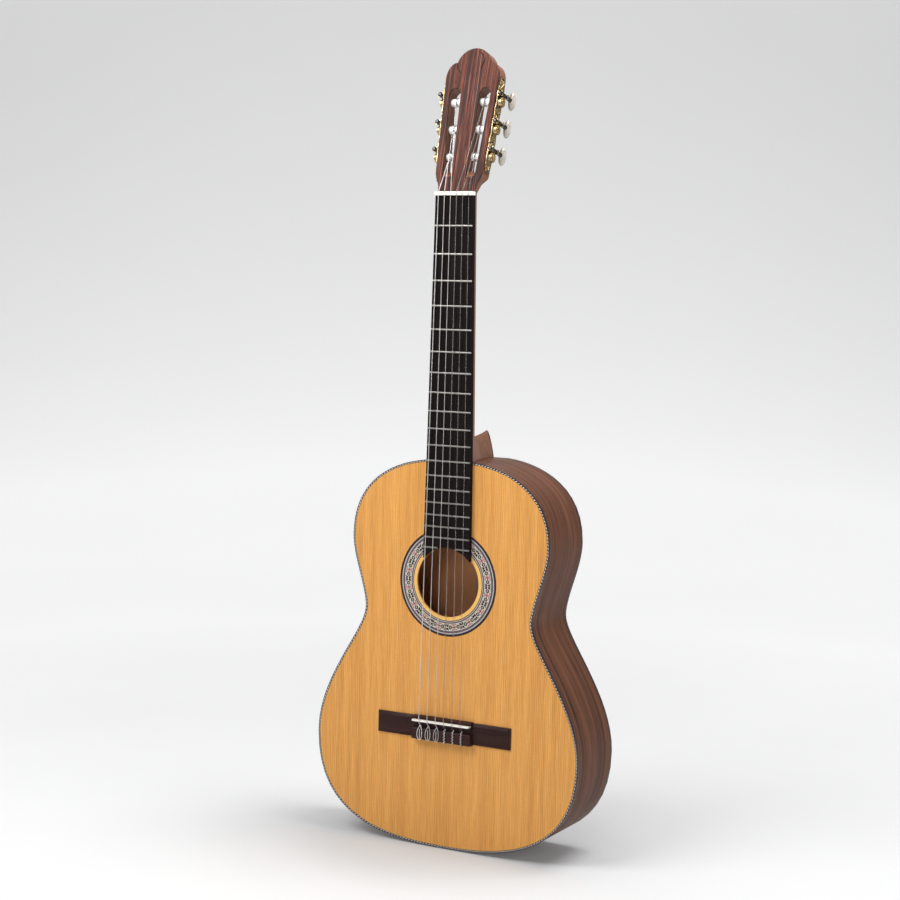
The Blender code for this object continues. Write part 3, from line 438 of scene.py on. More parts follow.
def striped_veneer():
    finish, tree, shader = new_finish("striped_veneer", Specular_IOR_Level=0.06)
    coordinates = node(tree, "TexCoord").outputs["Object"]
    vector = node(tree, "Mapping", {"Vector": coordinates, "Rotation": (head_tilt, 0.0, 0.0)}).outputs[0]
    made = place_group(tree, grain, {
        "Vector": vector, "Light": (0.200, 0.062, 0.040, 1), "Dark": (0.040, 0.014, 0.011, 1),
        "Lines": 260.0, "Wander": 0.7, "Line Strength": 0.55, "Band Strength": 0.35,
        "Fibre Strength": 0.7, "Pore Strength": 0.45})
    wide = noise(tree, stretched(tree, vector, (1.0, 0.0, 0.02)), 230.0, 2.0, 0.6)
    dark_bands = remap(tree, wide, 0.46, 0.52)
    greyed = mix(tree, sums(tree, "MULTIPLY", dark_bands, 0.86), made["Color"], (0.034, 0.020, 0.019, 1))
    narrow = noise(tree, stretched(tree, vector, (1.0, 0.0, 0.03)), 420.0, 2.0, 0.5)
    bright = mix(tree, sums(tree, "MULTIPLY", remap(tree, narrow, 0.56, 0.64), 0.60), greyed,
                 (0.36, 0.125, 0.082, 1))
    drift = noise(tree, stretched(tree, vector, (0.0, 0.0, 1.0)), 14.0, 1.0)
    flat = node(tree, "SeparateXYZ", {0: vector})
    line = sums(tree, "ABSOLUTE", sums(tree, "ADD", flat.outputs[0],
                                       sums(tree, "MULTIPLY_ADD", drift, 0.005, -0.0115)))
    hair = sums(tree, "MULTIPLY", remap(tree, line, 0.0001, 0.0004, 1.0, 0.0), 0.45)
    wire(tree, mix(tree, hair, bright, (0.58, 0.34, 0.25, 1)), shader, "Base Color")
    worn = place_group(tree, handling, {"Vector": vector, "Roughness": 0.42, "Spread": 0.10})
    wire(tree, worn["Roughness"], shader, "Roughness")
    bump(tree, shader, made["Height"], 0.25)
    return finish


veneer = striped_veneer()
print("veneer grain turned", round(math.degrees(head_tilt), 1), "degrees with the head")

# %% [markdown]
# ## Dyed wood for inlays
# The inlaid lines and tiles are slips of dyed veneer, black, white, lilac, cream and pink. Each
# is a plain colour only at first sight: the dye takes unevenly along the fibres, and the lacquer
# over it has specks. One recipe is used for all of them with its own two shades.

# %% Inlay woods
def dyed(name, light, dark, gloss=0.38):
    finish, tree, shader = new_finish(name, Specular_IOR_Level=0.2)
    vector = node(tree, "TexCoord").outputs["Object"]
    made = place_group(tree, grain, {
        "Vector": vector, "Light": (*light, 1), "Dark": (*dark, 1), "Lines": 900.0, "Wander": 2.0,
        "Line Strength": 0.1, "Band Strength": 0.2, "Fibre Strength": 0.7, "Pore Strength": 0.3})
    worn = place_group(tree, handling, {"Vector": vector, "Roughness": gloss, "Spread": 0.08})
    wire(tree, made["Color"], shader, "Base Color")
    wire(tree, worn["Roughness"], shader, "Roughness")
    bump(tree, shader, made["Height"], 0.12)
    return finish


ink = dyed("inlay_black", (0.030, 0.026, 0.028), (0.006, 0.005, 0.006))
white = dyed("inlay_white", (0.70, 0.66, 0.60), (0.48, 0.44, 0.39))
lilac = dyed("inlay_lilac", (0.30, 0.24, 0.28), (0.17, 0.13, 0.16))
violet = dyed("inlay_violet", (0.060, 0.042, 0.055), (0.025, 0.016, 0.022))
cream = dyed("inlay_cream", (0.62, 0.56, 0.46), (0.42, 0.37, 0.30))
pink = dyed("inlay_pink", (0.52, 0.27, 0.27), (0.34, 0.15, 0.15))
crimson = dyed("inlay_crimson", (0.32, 0.035, 0.040), (0.15, 0.012, 0.016))
maple = dyed("inlay_maple", (0.86, 0.52, 0.16), (0.68, 0.36, 0.09))
print("inlay woods 8")

# %% [markdown]
# ## Metals
# Frets are nickel silver, polished but scuffed where strings press. The tuner plates are stamped
# brass with a dark wash left in the recesses: cells of a Voronoi pattern give the stamped hollows,
# and the same mask darkens them and sinks them in the bump. The worm shafts are black plated.

# %% Metals
def metal(name, light, dark, gloss, marks=60.0, wash=0.0, metallic=1.0, coat=0.0):
    """A metal with fine rubbed marks and, where asked, a dark wash lying in blotches."""
    finish, tree, shader = new_finish(name, Metallic=metallic, Coat_Weight=coat)
    vector = node(tree, "TexCoord").outputs["Object"]
    worn = place_group(tree, handling, {"Vector": vector, "Roughness": gloss, "Spread": 0.14})
    rubbed = noise(tree, stretched(tree, vector, (1.0, 1.0, 0.2)), marks * 40, 3.0, 0.6)
    tone = mix(tree, remap(tree, rubbed, 0.35, 0.7), (*dark, 1), (*light, 1))
    height = rubbed
    if wash:
        cells = node(tree, "TexVoronoi", {"Vector": vector, "Scale": 400.0, "Randomness": 0.9},
                     feature="DISTANCE_TO_EDGE").outputs[0]
        scrolls = noise(tree, vector, 330.0, 2.0, 0.5)
        hollow = sums(tree, "MULTIPLY", remap(tree, cells, 0.06, 0.22, 1.0, 0.0),
                      remap(tree, scrolls, 0.40, 0.52))
        tone = mix(tree, sums(tree, "MULTIPLY", hollow, wash), tone, (0.035, 0.020, 0.010, 1))
        height = sums(tree, "MULTIPLY_ADD", hollow, -2.0, rubbed)
    wire(tree, tone, shader, "Base Color")
    wire(tree, worn["Roughness"], shader, "Roughness")
    bump(tree, shader, height, 0.25, 0.0001)
    return finish


fret_silver = metal("fret_silver", (0.33, 0.315, 0.29), (0.17, 0.16, 0.15), 0.38)
brass = metal("stamped_brass", (0.66, 0.53, 0.30), (0.40, 0.28, 0.12), 0.34, wash=0.95)
bright_brass = metal("polished_brass", (0.72, 0.56, 0.28), (0.46, 0.32, 0.13), 0.24, wash=0.5)
black_plate = metal("black_plating", (0.035, 0.035, 0.037), (0.008, 0.008, 0.009), 0.16,
                    metallic=0.6, coat=0.6)


# %% [markdown]
# ## Bone, nylon and pearl
# Nut and saddle are bone-coloured, the rollers white nylon, and the buttons a pearly plastic. All
# three are smooth and let a little light in. Their tone drifts in clouds, and pearl bends those
# clouds with a second noise until they swirl.

# %% Bone, nylon and pearl
def smooth_stuff(name, light, dark, gloss, scale=40.0, swirl=0.0, subsurface=0.0, **constants):
    """A smooth pale material whose tone drifts in clouds, swirled for pearl."""
    finish, tree, shader = new_finish(name, Subsurface_Weight=subsurface, **constants)
    shader.inputs["Subsurface Scale"].default_value = 0.002
    vector = node(tree, "TexCoord").outputs["Object"]
    bent = node(tree, "TexNoise", {"Vector": vector, "Scale": scale * 2, "Detail": 2.0})
    moved = node(tree, "VectorMath", {0: bent.outputs["Color"], 1: (swirl, swirl, swirl)},
                 operation="MULTIPLY").outputs[0]
    place = node(tree, "VectorMath", {0: vector, 1: moved}, operation="ADD").outputs[0]
    tone = remap(tree, noise(tree, place, scale * 4, 3.0, 0.6), 0.3, 0.7)
    worn = place_group(tree, handling, {"Vector": vector, "Roughness": gloss, "Spread": 0.10})
    clean = mix(tree, tone, (*dark, 1), (*light, 1))
    dusty = mix(tree, sums(tree, "MULTIPLY", worn["Dust"], 0.12), clean, (0.45, 0.40, 0.33, 1))
    wire(tree, dusty, shader, "Base Color")
    wire(tree, worn["Roughness"], shader, "Roughness")
    bump(tree, shader, worn["Wave"], 0.1)
    return finish


bone = smooth_stuff("bone", (0.90, 0.87, 0.80), (0.80, 0.75, 0.66), 0.35, subsurface=0.1)
white_nylon = smooth_stuff("roller_nylon", (0.95, 0.95, 0.94), (0.90, 0.90, 0.89), 0.32, subsurface=0.1)
pearl = smooth_stuff("button_pearl", (0.54, 0.50, 0.43), (0.36, 0.32, 0.27), 0.20, scale=60.0,
                     swirl=0.02, subsurface=0.1, Coat_Weight=0.5, Coat_Roughness=0.08)
print("metals 4, smooth stuff 3")


# %% [markdown]
# ## Strings
# The three treble strings are clear nylon: they let light through and only their edges shine. The
# three basses are silk wound with silver-plated wire, 0.3 mm to a turn. The winding is far finer
# than anything else on the guitar, so it is a wave in the bump, running along the string.

# %% String finishes
def clear_nylon(name, clearness):
    finish, tree, shader = new_finish(name, Transmission_Weight=clearness, IOR=1.45)
    vector = node(tree, "TexCoord").outputs["Object"]
    worn = place_group(tree, handling, {"Vector": vector, "Roughness": 0.16, "Spread": 0.08})
    tone = mix(tree, worn["Wave"], (0.55, 0.53, 0.49, 1), (0.75, 0.73, 0.70, 1))
    wire(tree, tone, shader, "Base Color")
    wire(tree, worn["Roughness"], shader, "Roughness")
    return finish


def silver_winding():
    finish, tree, shader = new_finish("silver_winding", Metallic=1.0)
    vector = node(tree, "TexCoord").outputs["Object"]
    wave = node(tree, "TexWave", {"Vector": vector, "Scale": 520.0}, bands_direction="Z").outputs["Fac"]
    worn = place_group(tree, handling, {"Vector": vector, "Roughness": 0.30, "Spread": 0.10})
    tarnish = mix(tree, worn["Dust"], (0.80, 0.79, 0.77, 1), (0.50, 0.47, 0.42, 1))
    ridged = mix(tree, sums(tree, "MULTIPLY", wave, 0.5), tarnish, (0.30, 0.29, 0.28, 1))
    wire(tree, ridged, shader, "Base Color")
    wire(tree, worn["Roughness"], shader, "Roughness")
    bump(tree, shader, wave, 0.6, 0.0001)
    return finish


nylon = clear_nylon("clear_nylon", 0.85)
knotted_nylon = clear_nylon("knotted_nylon", 0.25)
winding = silver_winding()
print("string finishes 3")

# %% [markdown]
# ## The body's outline
# Two things follow the outline of the body: the grain of the ribs and the roped edge. It is read
# off the CAD binding, whose front face has an inner and an outer edge. The edges of that face are
# walked in order, and both loops start at the tail, so that equal places stand side by side.

# %% Outline of the body
def outline_points(mesh, front):
    """The outer edge of a ring's front face, as points in order, measured round the body."""
    work = bmesh.new()
    work.from_mesh(mesh)
    face_edges = [edge for edge in work.edges if all(abs(v.co.y - front) < 0.0002 for v in edge.verts)]
    rim = [edge for edge in face_edges
           if sum(abs(face.normal.y) > 0.9 for face in edge.link_faces) == 1]
    loops = []
    left = set(rim)
    while left:
        edge = left.pop()
        start, at = edge.verts
        loop = [start.co.copy()]
        while at is not start:
            loop.append(at.co.copy())
            edge = next(e for e in at.link_edges if e in left)
            left.discard(edge)
            at = edge.other_vert(at)
        loops.append(loop)
    work.free()
    return sorted(loops, key=lambda loop: max(p.x for p in loop))


def from_tail(loop):
    """The same loop, started at the tail and turned towards the treble side."""
    area = sum(a.x * b.z - b.x * a.z for a, b in zip(loop, loop[1:] + loop[:1]))
    loop = loop if area > 0 else loop[::-1]
    first = min(range(len(loop)), key=lambda i: (round(loop[i].z, 4), abs(loop[i].x)))
    return loop[first:] + loop[:first]


edge_copy = skin_of("top_binding", "binding_gauge")
edge_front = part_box("top_binding")[0].y
inner_loop, outer_loop = [from_tail(loop) for loop in outline_points(edge_copy.data, edge_front)]
rim_lengths = [0.0]
for a, b in zip(outer_loop, outer_loop[1:] + outer_loop[:1]):
    rim_lengths.append(rim_lengths[-1] + (b - a).length)
perimeter = rim_lengths[-1]
bpy.data.objects.remove(edge_copy)
print("outline", len(outer_loop), "points,", round(perimeter, 3), "m round")


# %% [markdown]
# ## The sound box
# The top and back plates already have their true shape, so they only take their wood. Each rib is
# one long strip of wood bent to the outline, and its grain runs round with it. So each rib gets a
# UV map: U across the strip and V along the outline, both in metres, and the wood reads that map.

# %% Ribs with grain along the bend
def along_rim(point):
    """How far round the outline a point lies, from the tail up the treble side."""
    best = (9.0, 0.0)
    for i, a in enumerate(outer_loop):
        b = outer_loop[(i + 1) % len(outer_loop)]
        step = Vector((b.x - a.x, 0, b.z - a.z))
        off = Vector((point.x - a.x, 0, point.z - a.z))
        share = min(max(off.dot(step) / step.length_squared, 0), 1)
        gap = (off - share * step).length
        if gap < best[0]:
            best = (gap, rim_lengths[i] + share * step.length)
    return best[1]


def map_strip(piece, mirrored):
    """UV in metres: U is the depth in the body and V the distance round the outline."""
    uv = piece.data.uv_layers.new(name="strip")
    place = {}
    for vertex in piece.data.vertices:
        reach = along_rim(vertex.co)
        if mirrored and reach < 0.01:
            reach = perimeter
        place[vertex.index] = (vertex.co.y, reach)
    for corner in piece.data.loops:
        uv.data[corner.index].uv = place[corner.vertex_index]


def raw_and_lit_inside(finish):
    """Lacquer stops at the edge: faces that look into the body keep a paler, redder raw wood, made paler
    still as painted light for the light that falls in through the sound hole.
    """
    tree = finish.node_tree
    shader = tree.nodes["Principled BSDF"]
    lacquered = shader.inputs["Base Color"].links[0].from_socket
    geometry = node(tree, "NewGeometry")
    inwards = node(tree, "VectorMath", {0: geometry.outputs["Normal"], 1: (0.0, -1.0, 0.0)},
                   operation="DOT_PRODUCT").outputs["Value"]
    # Raw wood and painted light: the inside is made far paler than the lacquered wood, standing for light
    # that falls in through the hole.
    raw_and_lit_tone = mix(tree, 0.88, lacquered, (0.92, 0.43, 0.20, 1))
    wire(tree, mix(tree, remap(tree, inwards, 0.3, 0.7), lacquered, raw_and_lit_tone), shader, "Base Color")


for side in ("treble", "bass"):
    rib = merged_copy(f"rib_{side}", f"bent_rib_{side}", 30)
    map_strip(rib, side == "bass")
    rib.data.materials.append(walnut_rib)
    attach(rib, "root")
dress("soundboard", cedar)
raw_and_lit_inside(walnut_back)
raw_and_lit_inside(walnut_rib)
dress("back_plate", walnut_back)
for name in ("top_lining", "back_lining", "top_bracing", "back_bracing", "neck_block", "tail_block"):
    dress(name, pale)

# %% [markdown]
# ## The roped edge
# Round the top runs a purfling of three slips: a dark binding outside, a rope of slanted black and
# white slips, and a thin black line against the cedar. The rope is hundreds of tiny slips, which a
# maker saws from one laminated block. Here each slip is one slanted face of a closed strip that
# follows the outline, coloured in turn.

# %% Strips that follow the outline
def rim_point(reach, share):
    """A point of the edge: reach is the distance round it, share 0 at its outside and 1 inside."""
    reach %= perimeter
    i = next(k for k in range(len(outer_loop)) if rim_lengths[k + 1] >= reach)
    j = (i + 1) % len(outer_loop)
    t = (reach - rim_lengths[i]) / (rim_lengths[i + 1] - rim_lengths[i])
    return outer_loop[i].lerp(outer_loop[j], t).lerp(inner_loop[i].lerp(inner_loop[j], t), share)


def edge_strip(name, share_out, share_in, count, slant, depth, finishes):
    """A closed strip round the edge, in count pieces that lean by slant and take turns in finish."""
    work = bmesh.new()
    rings = []
    for k in range(count):
        reach = perimeter * k / count
        corners = [rim_point(reach, share_out), rim_point(reach + slant, share_in)]
        low = [corner + Vector((0, depth, 0)) for corner in corners]
        rings.append([work.verts.new(c) for c in (corners[0], corners[1], low[1], low[0])])
    for k in range(count):
        here, there = rings[k], rings[(k + 1) % count]
        for a in range(4):
            b = (a + 1) % 4
            face = work.faces.new((here[a], here[b], there[b], there[a]))
            face.material_index = k % len(finishes)
    bmesh.ops.recalc_face_normals(work, faces=work.faces)
    mesh = bpy.data.meshes.new(name)
    work.to_mesh(mesh)
    work.free()
    strip = bpy.data.objects.new(name, mesh)
    bpy.context.scene.collection.objects.link(strip)
    finish_piece(strip, name, finishes)
    return strip


ROPE_PITCH = 0.0042
ROPE_LEAN = 0.0016
ROPE_SHARES = (0.32, 0.88)
LINE_DEPTH = 0.0015
SMOOTH_STEPS = 240
edge_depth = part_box("top_binding")[1].y - edge_front
slips = 2 * round(perimeter / ROPE_PITCH)
binding = edge_strip("edge_binding", 0.0, ROPE_SHARES[0], SMOOTH_STEPS, 0.0, edge_depth, [edge_wood])
edge_strip("edge_rope", *ROPE_SHARES, slips, ROPE_LEAN, LINE_DEPTH, [ink, white])
edge_strip("edge_line", ROPE_SHARES[1], 1.0, SMOOTH_STEPS, 0.0, LINE_DEPTH, [ink])
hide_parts("top_binding")
dress("back_binding", edge_wood)
print("rope of", slips, "slips")

# %% [markdown]
# ## The rosette
# The rosette is a disc of inlaid rings round the sound hole: black, white, lilac and violet lines
# on both sides of a cream band, then a plain ring of maple up to the hole. A circle is added at
# the innermost radius, and each ring is one extrusion of its edges, scaled outwards. Its faces
# then take the ring's wood, and two of the lines are cut into beads.

# %% Rings of the rosette
rosette_low, rosette_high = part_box("rosette")
hole_centre = Vector((0, rosette_low.y, (rosette_low.z + rosette_high.z) / 2))
rosette_radius = rosette_high.x
BAND = (0.0518, 0.0604)
on_the_top = Matrix.Translation(hole_centre) @ Matrix.Rotation(math.pi / 2, 4, "X")
RINGS = [(0.0490, ink), (0.0496, white), (0.0505, lilac), (0.0514, ink), (BAND[0], white),
         (BAND[1], cream), (0.0609, white), (0.0618, ink), (0.0629, lilac), (0.0636, ink),
         (0.0643, white), (0.0651, lilac), (rosette_radius, ink)]
RING_START = 0.0479
HOLE_EDGE = 0.04345
RING_LIFT = 0.00004          # keeps the ring's face off the soundboard's
BEADS = 384


def thicken(piece, depth):
    """Gives an open face a thickness behind it."""
    thickness = piece.modifiers.new("thickness", "SOLIDIFY")
    thickness.thickness = depth
    thickness.offset = -1.0


def inlaid_disc(name, start, rings, beaded, lift=0.0):
    """Rings round an open middle. The ones in beaded take turns with a second wood."""
    let_go()
    bpy.ops.mesh.primitive_circle_add(vertices=BEADS, radius=start, location=(0, 0, 0))
    disc = bpy.context.object
    bpy.ops.object.mode_set(mode="EDIT")
    bpy.ops.mesh.select_all(action="SELECT")
    inner = start
    for outer, _ in rings:
        bpy.ops.mesh.extrude_edges_move()
        bpy.ops.transform.resize(value=(outer / inner, outer / inner, 1), center_override=(0, 0, 0))
        inner = outer
    bpy.ops.mesh.select_all(action="SELECT")
    bpy.ops.mesh.normals_make_consistent(inside=False)
    bpy.ops.object.mode_set(mode="OBJECT")
    woods = []
    for finish in [of_ring for _, of_ring in rings] + list(beaded.values()):
        if finish not in woods:
            woods.append(finish)
    for face in disc.data.polygons:
        radius = (face.center.x ** 2 + face.center.y ** 2) ** 0.5
        ring = next(i for i, (outer, _) in enumerate(rings) if radius < outer)
        bead = round(math.atan2(face.center.y, face.center.x) / (2 * math.pi) * BEADS - 0.5)
        finish = rings[ring][1] if ring not in beaded or bead % 2 else beaded[ring]
        face.material_index = woods.index(finish)
    if disc.data.polygons[0].normal.z < 0:
        disc.data.flip_normals()
    thicken(disc, 0.0008)
    return finish_piece(disc, name, woods, place=on_the_top @ Matrix.Translation((0, 0, lift)))


rosette = inlaid_disc("rosette_rings", RING_START, RINGS, {2: violet, 8: violet})
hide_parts("rosette")
print("rosette of", len(RINGS), "rings to", rosette_radius)

# %% [markdown]
# ## Tiles of the mosaic band
# The cream band carries 64 tiles. Three kinds repeat: a ring with a light eye, a four-leaved
# flower, and a pink hourglass with a crimson heart, which stands at every fourth place. One tile
# of each kind is made from small filled circles, then copied round the band and joined.

# %% Motifs
BAND_RADIUS = sum(BAND) / 2
TILE_HALF = 0.0042
TILES = 64


def chip(corners, radius, at, finish, turn=0.0, tall=1.0, eye=None, lift=0.0):
    """One chip of wood: a filled circle with few corners, stretched, turned and perhaps inset."""
    let_go()
    bpy.ops.mesh.primitive_circle_add(vertices=corners, radius=radius, fill_type="NGON",
                                      location=(0, 0, 0))
    made = bpy.context.object
    made.data.materials.append(finish)
    bpy.ops.object.mode_set(mode="EDIT")
    bpy.ops.mesh.select_all(action="SELECT")
    if eye:
        bpy.ops.mesh.inset(thickness=radius * eye[0])
        bpy.ops.object.mode_set(mode="OBJECT")
        made.data.materials.append(eye[1])
        middle = max(made.data.polygons, key=lambda face: len(face.vertices))
        middle.material_index = 1
        bpy.ops.object.mode_set(mode="EDIT")
        bpy.ops.mesh.select_all(action="SELECT")
    bpy.ops.transform.resize(value=(1, tall, 1), center_override=(0, 0, 0))
    bpy.ops.object.mode_set(mode="OBJECT")
    made.data.transform(Matrix.Translation((*at, lift)) @ Matrix.Rotation(turn, 4, "Z"))
    return made


def joined(parts, name):
    """Several objects made one."""
    let_go()
    for part in parts:
        part.select_set(True)
    bpy.context.view_layer.objects.active = parts[0]
    bpy.ops.object.join()
    parts[0].name = name
    return parts[0]


def fill_band(tile):
    """Stretches a tile to the width that it has in the band."""
    hold(tile)
    bpy.ops.object.mode_set(mode="EDIT")
    bpy.ops.mesh.select_all(action="SELECT")
    reach = (max(v.co.y for v in tile.data.vertices) - min(v.co.y for v in tile.data.vertices)) / 2
    bpy.ops.transform.resize(value=(1, TILE_HALF / reach, 1), center_override=(0, 0, 0))
    bpy.ops.object.mode_set(mode="OBJECT")
    return tile


def ring_tile():
    outer = chip(16, 0.00235, (0, 0), ink, eye=(0.54, cream), tall=1.16)
    heart = chip(6, 0.00060, (0, 0), violet, lift=0.00001)
    dots = [chip(4, 0.00090, (x, y), ink) for x in (-0.0026, 0.0026) for y in (-0.0036, 0.0036)]
    return fill_band(joined([outer, heart, *dots], "ring_tile"))


def flower_tile():
    quarters = [math.pi / 4 + k * math.pi / 2 for k in range(4)]
    leaves = [chip(8, 0.00152, (0.0021 * math.cos(a), 0.0029 * math.sin(a)), ink, tall=1.1)
              for a in quarters]
    heart = chip(6, 0.00060, (0, 0), cream, lift=0.00001)
    tips = [chip(4, 0.00080, (0, y), violet) for y in (0.0038, -0.0038)]
    return fill_band(joined([*leaves, heart, *tips], "flower_tile"))


def hourglass_tile():
    ends = [chip(3, 0.0034, (0, sign * 0.0030), pink, turn=(math.pi if sign > 0 else 0))
            for sign in (1, -1)]
    sides = [chip(3, 0.0015, (sign * 0.0019, 0), ink, turn=sign * math.pi / 2) for sign in (1, -1)]
    heart = chip(4, 0.00125, (0, 0), crimson, tall=1.5, lift=0.00001)
    return fill_band(joined([*ends, *sides, heart], "hourglass_tile"))


patterns = [hourglass_tile(), ring_tile(), flower_tile(), ring_tile()]
tiles = []
for k in range(TILES):
    pattern = patterns[k % 4]
    tile = bpy.data.objects.new(f"tile_{k}", pattern.data.copy())
    bpy.context.scene.collection.objects.link(tile)
    angle = 2 * math.pi * (k + 2) / TILES
    spot = Matrix.Rotation(angle, 4, "Z") @ Matrix.Translation((0, -BAND_RADIUS, 0.00003))
    tile.data.transform(spot)
    tiles.append(tile)
for pattern in patterns:
    bpy.data.objects.remove(pattern)
mosaic = joined(tiles, "rosette_mosaic")
thicken(mosaic, 0.0003)
finish_piece(mosaic, "rosette_mosaic", [], place=on_the_top)
maple_ring = inlaid_disc("hole_ring", HOLE_EDGE, [(RING_START, maple)], {}, RING_LIFT)
print("mosaic", len(mosaic.data.polygons), "faces in", TILES, "tiles")

# %% [markdown]
# ## The bridge
# The bridge is one dark block: two thin wings, a saddle ridge and a tie block. The CAD block is
# kept between its two cuts. The carver bevels each wing on its three free sides, so it looks like
# a framed panel: a slab whose front is drawn out and narrowed towards the tie block.

# %% Tie block and wings
def cut_flat(piece, at, normal, keep_far):
    """Bisects a piece, keeps one side and closes it."""
    hold(piece)
    bpy.ops.object.mode_set(mode="EDIT")
    bpy.ops.mesh.select_all(action="SELECT")
    bpy.ops.mesh.bisect(plane_co=at, plane_no=normal, use_fill=True, clear_inner=keep_far,
                        clear_outer=not keep_far)
    bpy.ops.object.mode_set(mode="OBJECT")


bridge_low, bridge_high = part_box("bridge")
TIE_HALF = 0.0415
WING_RIM = 0.0014
WING_RISE = 0.0018
WING_PANEL = (0.88, 1, 0.72)         # the raised panel's share of the wing's length and height


def hipped_wing():
    """The treble wing: a slab with a smaller panel raised on its front."""
    let_go()
    low = Vector((TIE_HALF - 0.0002, bridge_high.y - WING_RIM, bridge_low.z + 0.0012))
    high = Vector((bridge_high.x, bridge_high.y, bridge_high.z - 0.0010))
    bpy.ops.mesh.primitive_cube_add(size=1, location=(low + high) / 2, scale=high - low)
    wing = bpy.context.object
    bpy.ops.object.transform_apply(location=True, scale=True)
    pick_faces(wing, lambda face: face.normal.y < -0.9)
    bpy.ops.mesh.extrude_region_move(TRANSFORM_OT_translate={"value": (0, -WING_RISE, 0)})
    bpy.ops.transform.resize(value=WING_PANEL, center_override=(low.x, low.y, (low.z + high.z) / 2))
    bpy.ops.mesh.select_mode(type="VERT")
    bpy.ops.object.mode_set(mode="OBJECT")
    soften(wing, 0.0003, 2)
    apply_modifiers(wing)
    return wing


wings = [hipped_wing(), hipped_wing()]
wings[1].data.transform(Matrix.Scale(-1, 4, (1, 0, 0)))
wings[1].data.flip_normals()
for side, wing in zip(("treble", "bass"), wings):
    finish_piece(wing, f"bridge_wing_{side}", bridge_wood, angle=20)
bridge = merged_copy("bridge", "tie_block", 20)
cut_flat(bridge, (TIE_HALF, 0, 0), (1, 0, 0), False)
cut_flat(bridge, (-TIE_HALF, 0, 0), (1, 0, 0), True)
finish_piece(bridge, "tie_block", bridge_wood, angle=20)
print("bridge", round((bridge_high.x - bridge_low.x) * 1000, 1), "mm long, rising",
      round((bridge_high.y - bridge_low.y) * 1000, 1), "mm")


# %% [markdown]
# ## Nut and saddle
# Both are strips of bone with softened edges. The saddle is the CAD strip, its flat faces made
# whole again so that a bevel can run along the real edges. The nut is a block with a saw cut for
# each string: the cut is as wide as the string that lies in it, and just as deep.

# %% Bone nut and saddle
SAW_DEPTH = 0.01
SAW_PLAY = 0.00004


def eased_saddle():
    """The CAD saddle with its edges rounded off."""
    saddle = merged_copy("saddle", "bone_saddle")
    hold(saddle)
    bpy.ops.object.mode_set(mode="EDIT")
    bpy.ops.mesh.select_all(action="SELECT")
    bpy.ops.mesh.dissolve_limited(angle_limit=math.radians(0.5))
    bpy.ops.object.mode_set(mode="OBJECT")
    soften(saddle, 0.0004, 2)
    return saddle


def slotted_nut():
    """A bone block with a slot for each string, just as wide as the string."""
    low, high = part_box("nut")
    let_go()
    bpy.ops.mesh.primitive_cube_add(size=1, location=(low + high) / 2, scale=high - low)
    nut = bpy.context.object
    bpy.ops.object.transform_apply(location=True, scale=True)
    soften(nut, 0.0004, 3)
    apply_modifiers(nut)
    for number in range(1, 7):
        near = [vertex.co for vertex in nodes[f"string_{number}"].data.vertices
                if low.z - 0.001 < vertex.co.z < high.z + 0.001]
        left, right = min(p.x for p in near), max(p.x for p in near)
        depth = max(p.y for p in near)
        let_go()
        bpy.ops.mesh.primitive_cube_add(
            size=1, location=((left + right) / 2, depth - SAW_DEPTH / 2, (low.z + high.z) / 2),
            scale=(right - left + SAW_PLAY, SAW_DEPTH, 0.02))
        carve(nut, bpy.context.object)
    return nut


nut = slotted_nut()
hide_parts("nut")
for piece, name in ((nut, "bone_nut"), (eased_saddle(), "bone_saddle")):
    finish_piece(piece, name, bone)
print("nut with", len(nut.data.polygons), "faces and six cuts")

# %% [markdown]
# ## Neck, heel and fingerboard
# The neck is one length of mahogany whose heel sweeps back to the body. A slip of dark wood caps
# the heel: it is cut off the same shape with a flat cut, so both meet exactly. The fingerboard
# and frets keep their CAD shapes and take ebony and nickel silver.

# %% Neck and heel cap
heel_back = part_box("neck")[1].y
CAP_THICK = 0.0024
neck = merged_copy("neck", "mahogany_neck_shaft", 40)
cap = merged_copy("neck", "heel_cap", 40)
cut_flat(neck, (0, heel_back - CAP_THICK, 0), (0, 1, 0), False)
cut_flat(cap, (0, heel_back - CAP_THICK, 0), (0, 1, 0), True)
finish_piece(neck, "mahogany_neck_shaft", mahogany, angle=40)
finish_piece(cap, "heel_cap", edge_wood, angle=40)
dress("fingerboard", ebony)
for name in nodes:
    if name.startswith("fret_"):
        dress(name, fret_silver)
print("heel cap", round(CAP_THICK * 1000, 1), "mm thick")

# %% [markdown]
# ## The head
# The head is mahogany with a striped veneer on its face. It leans back, and the key's axis tells
# by how much, because it points straight back out of the face. The ramps at the slots' lower ends
# are fresh cuts in paler wood, made paler still as painted light: they are the faces that look both
# up and forwards, towards the lamps. Fine grooves are carved into the veneer below the crown with a
# diamond-shaped bar, which leaves a V, and the dark wood of the bar lines its walls as painted shade.

# %% Head and carved grooves
head = merged_copy("head", "slotted_head", 30)
finish_piece(head, "slotted_head", mahogany, angle=30)
face_back = Vector(joint_of["key_treble_1"]["axis"])
face_up = Vector((1, 0, 0)).cross(face_back)
# Painted light: faces that look up and forwards, towards the lamps, take the paler wood.
head.data.materials.append(cut_and_lit_mahogany)
for face in head.data.polygons:
    if face.normal.dot(face_up) > 0.25 and face.normal.dot(face_back) < -0.25:
        face.material_index = 1
facing = merged_copy("head_veneer", "head_veneer_face", 30)
facing.data.materials.append(veneer)
face_points = [vertex.co for vertex in facing.data.vertices]
face_depth = min(point.dot(face_back) for point in face_points)
crown = max(point.dot(face_up) for point in face_points)
GROOVE_WIDTH = 0.0009
GROOVES = [[(0.0068, -0.0049), (0.0143, -0.0153), (0.0107, -0.0262)],
           [(-0.0232, -0.0178), (-0.0223, -0.0249), (-0.0181, -0.0301)]]


def on_face(across, below_crown):
    """A point of the head's face, measured from its middle and its crown."""
    return Vector((across, 0, 0)) + face_up * (crown + below_crown) + face_back * face_depth


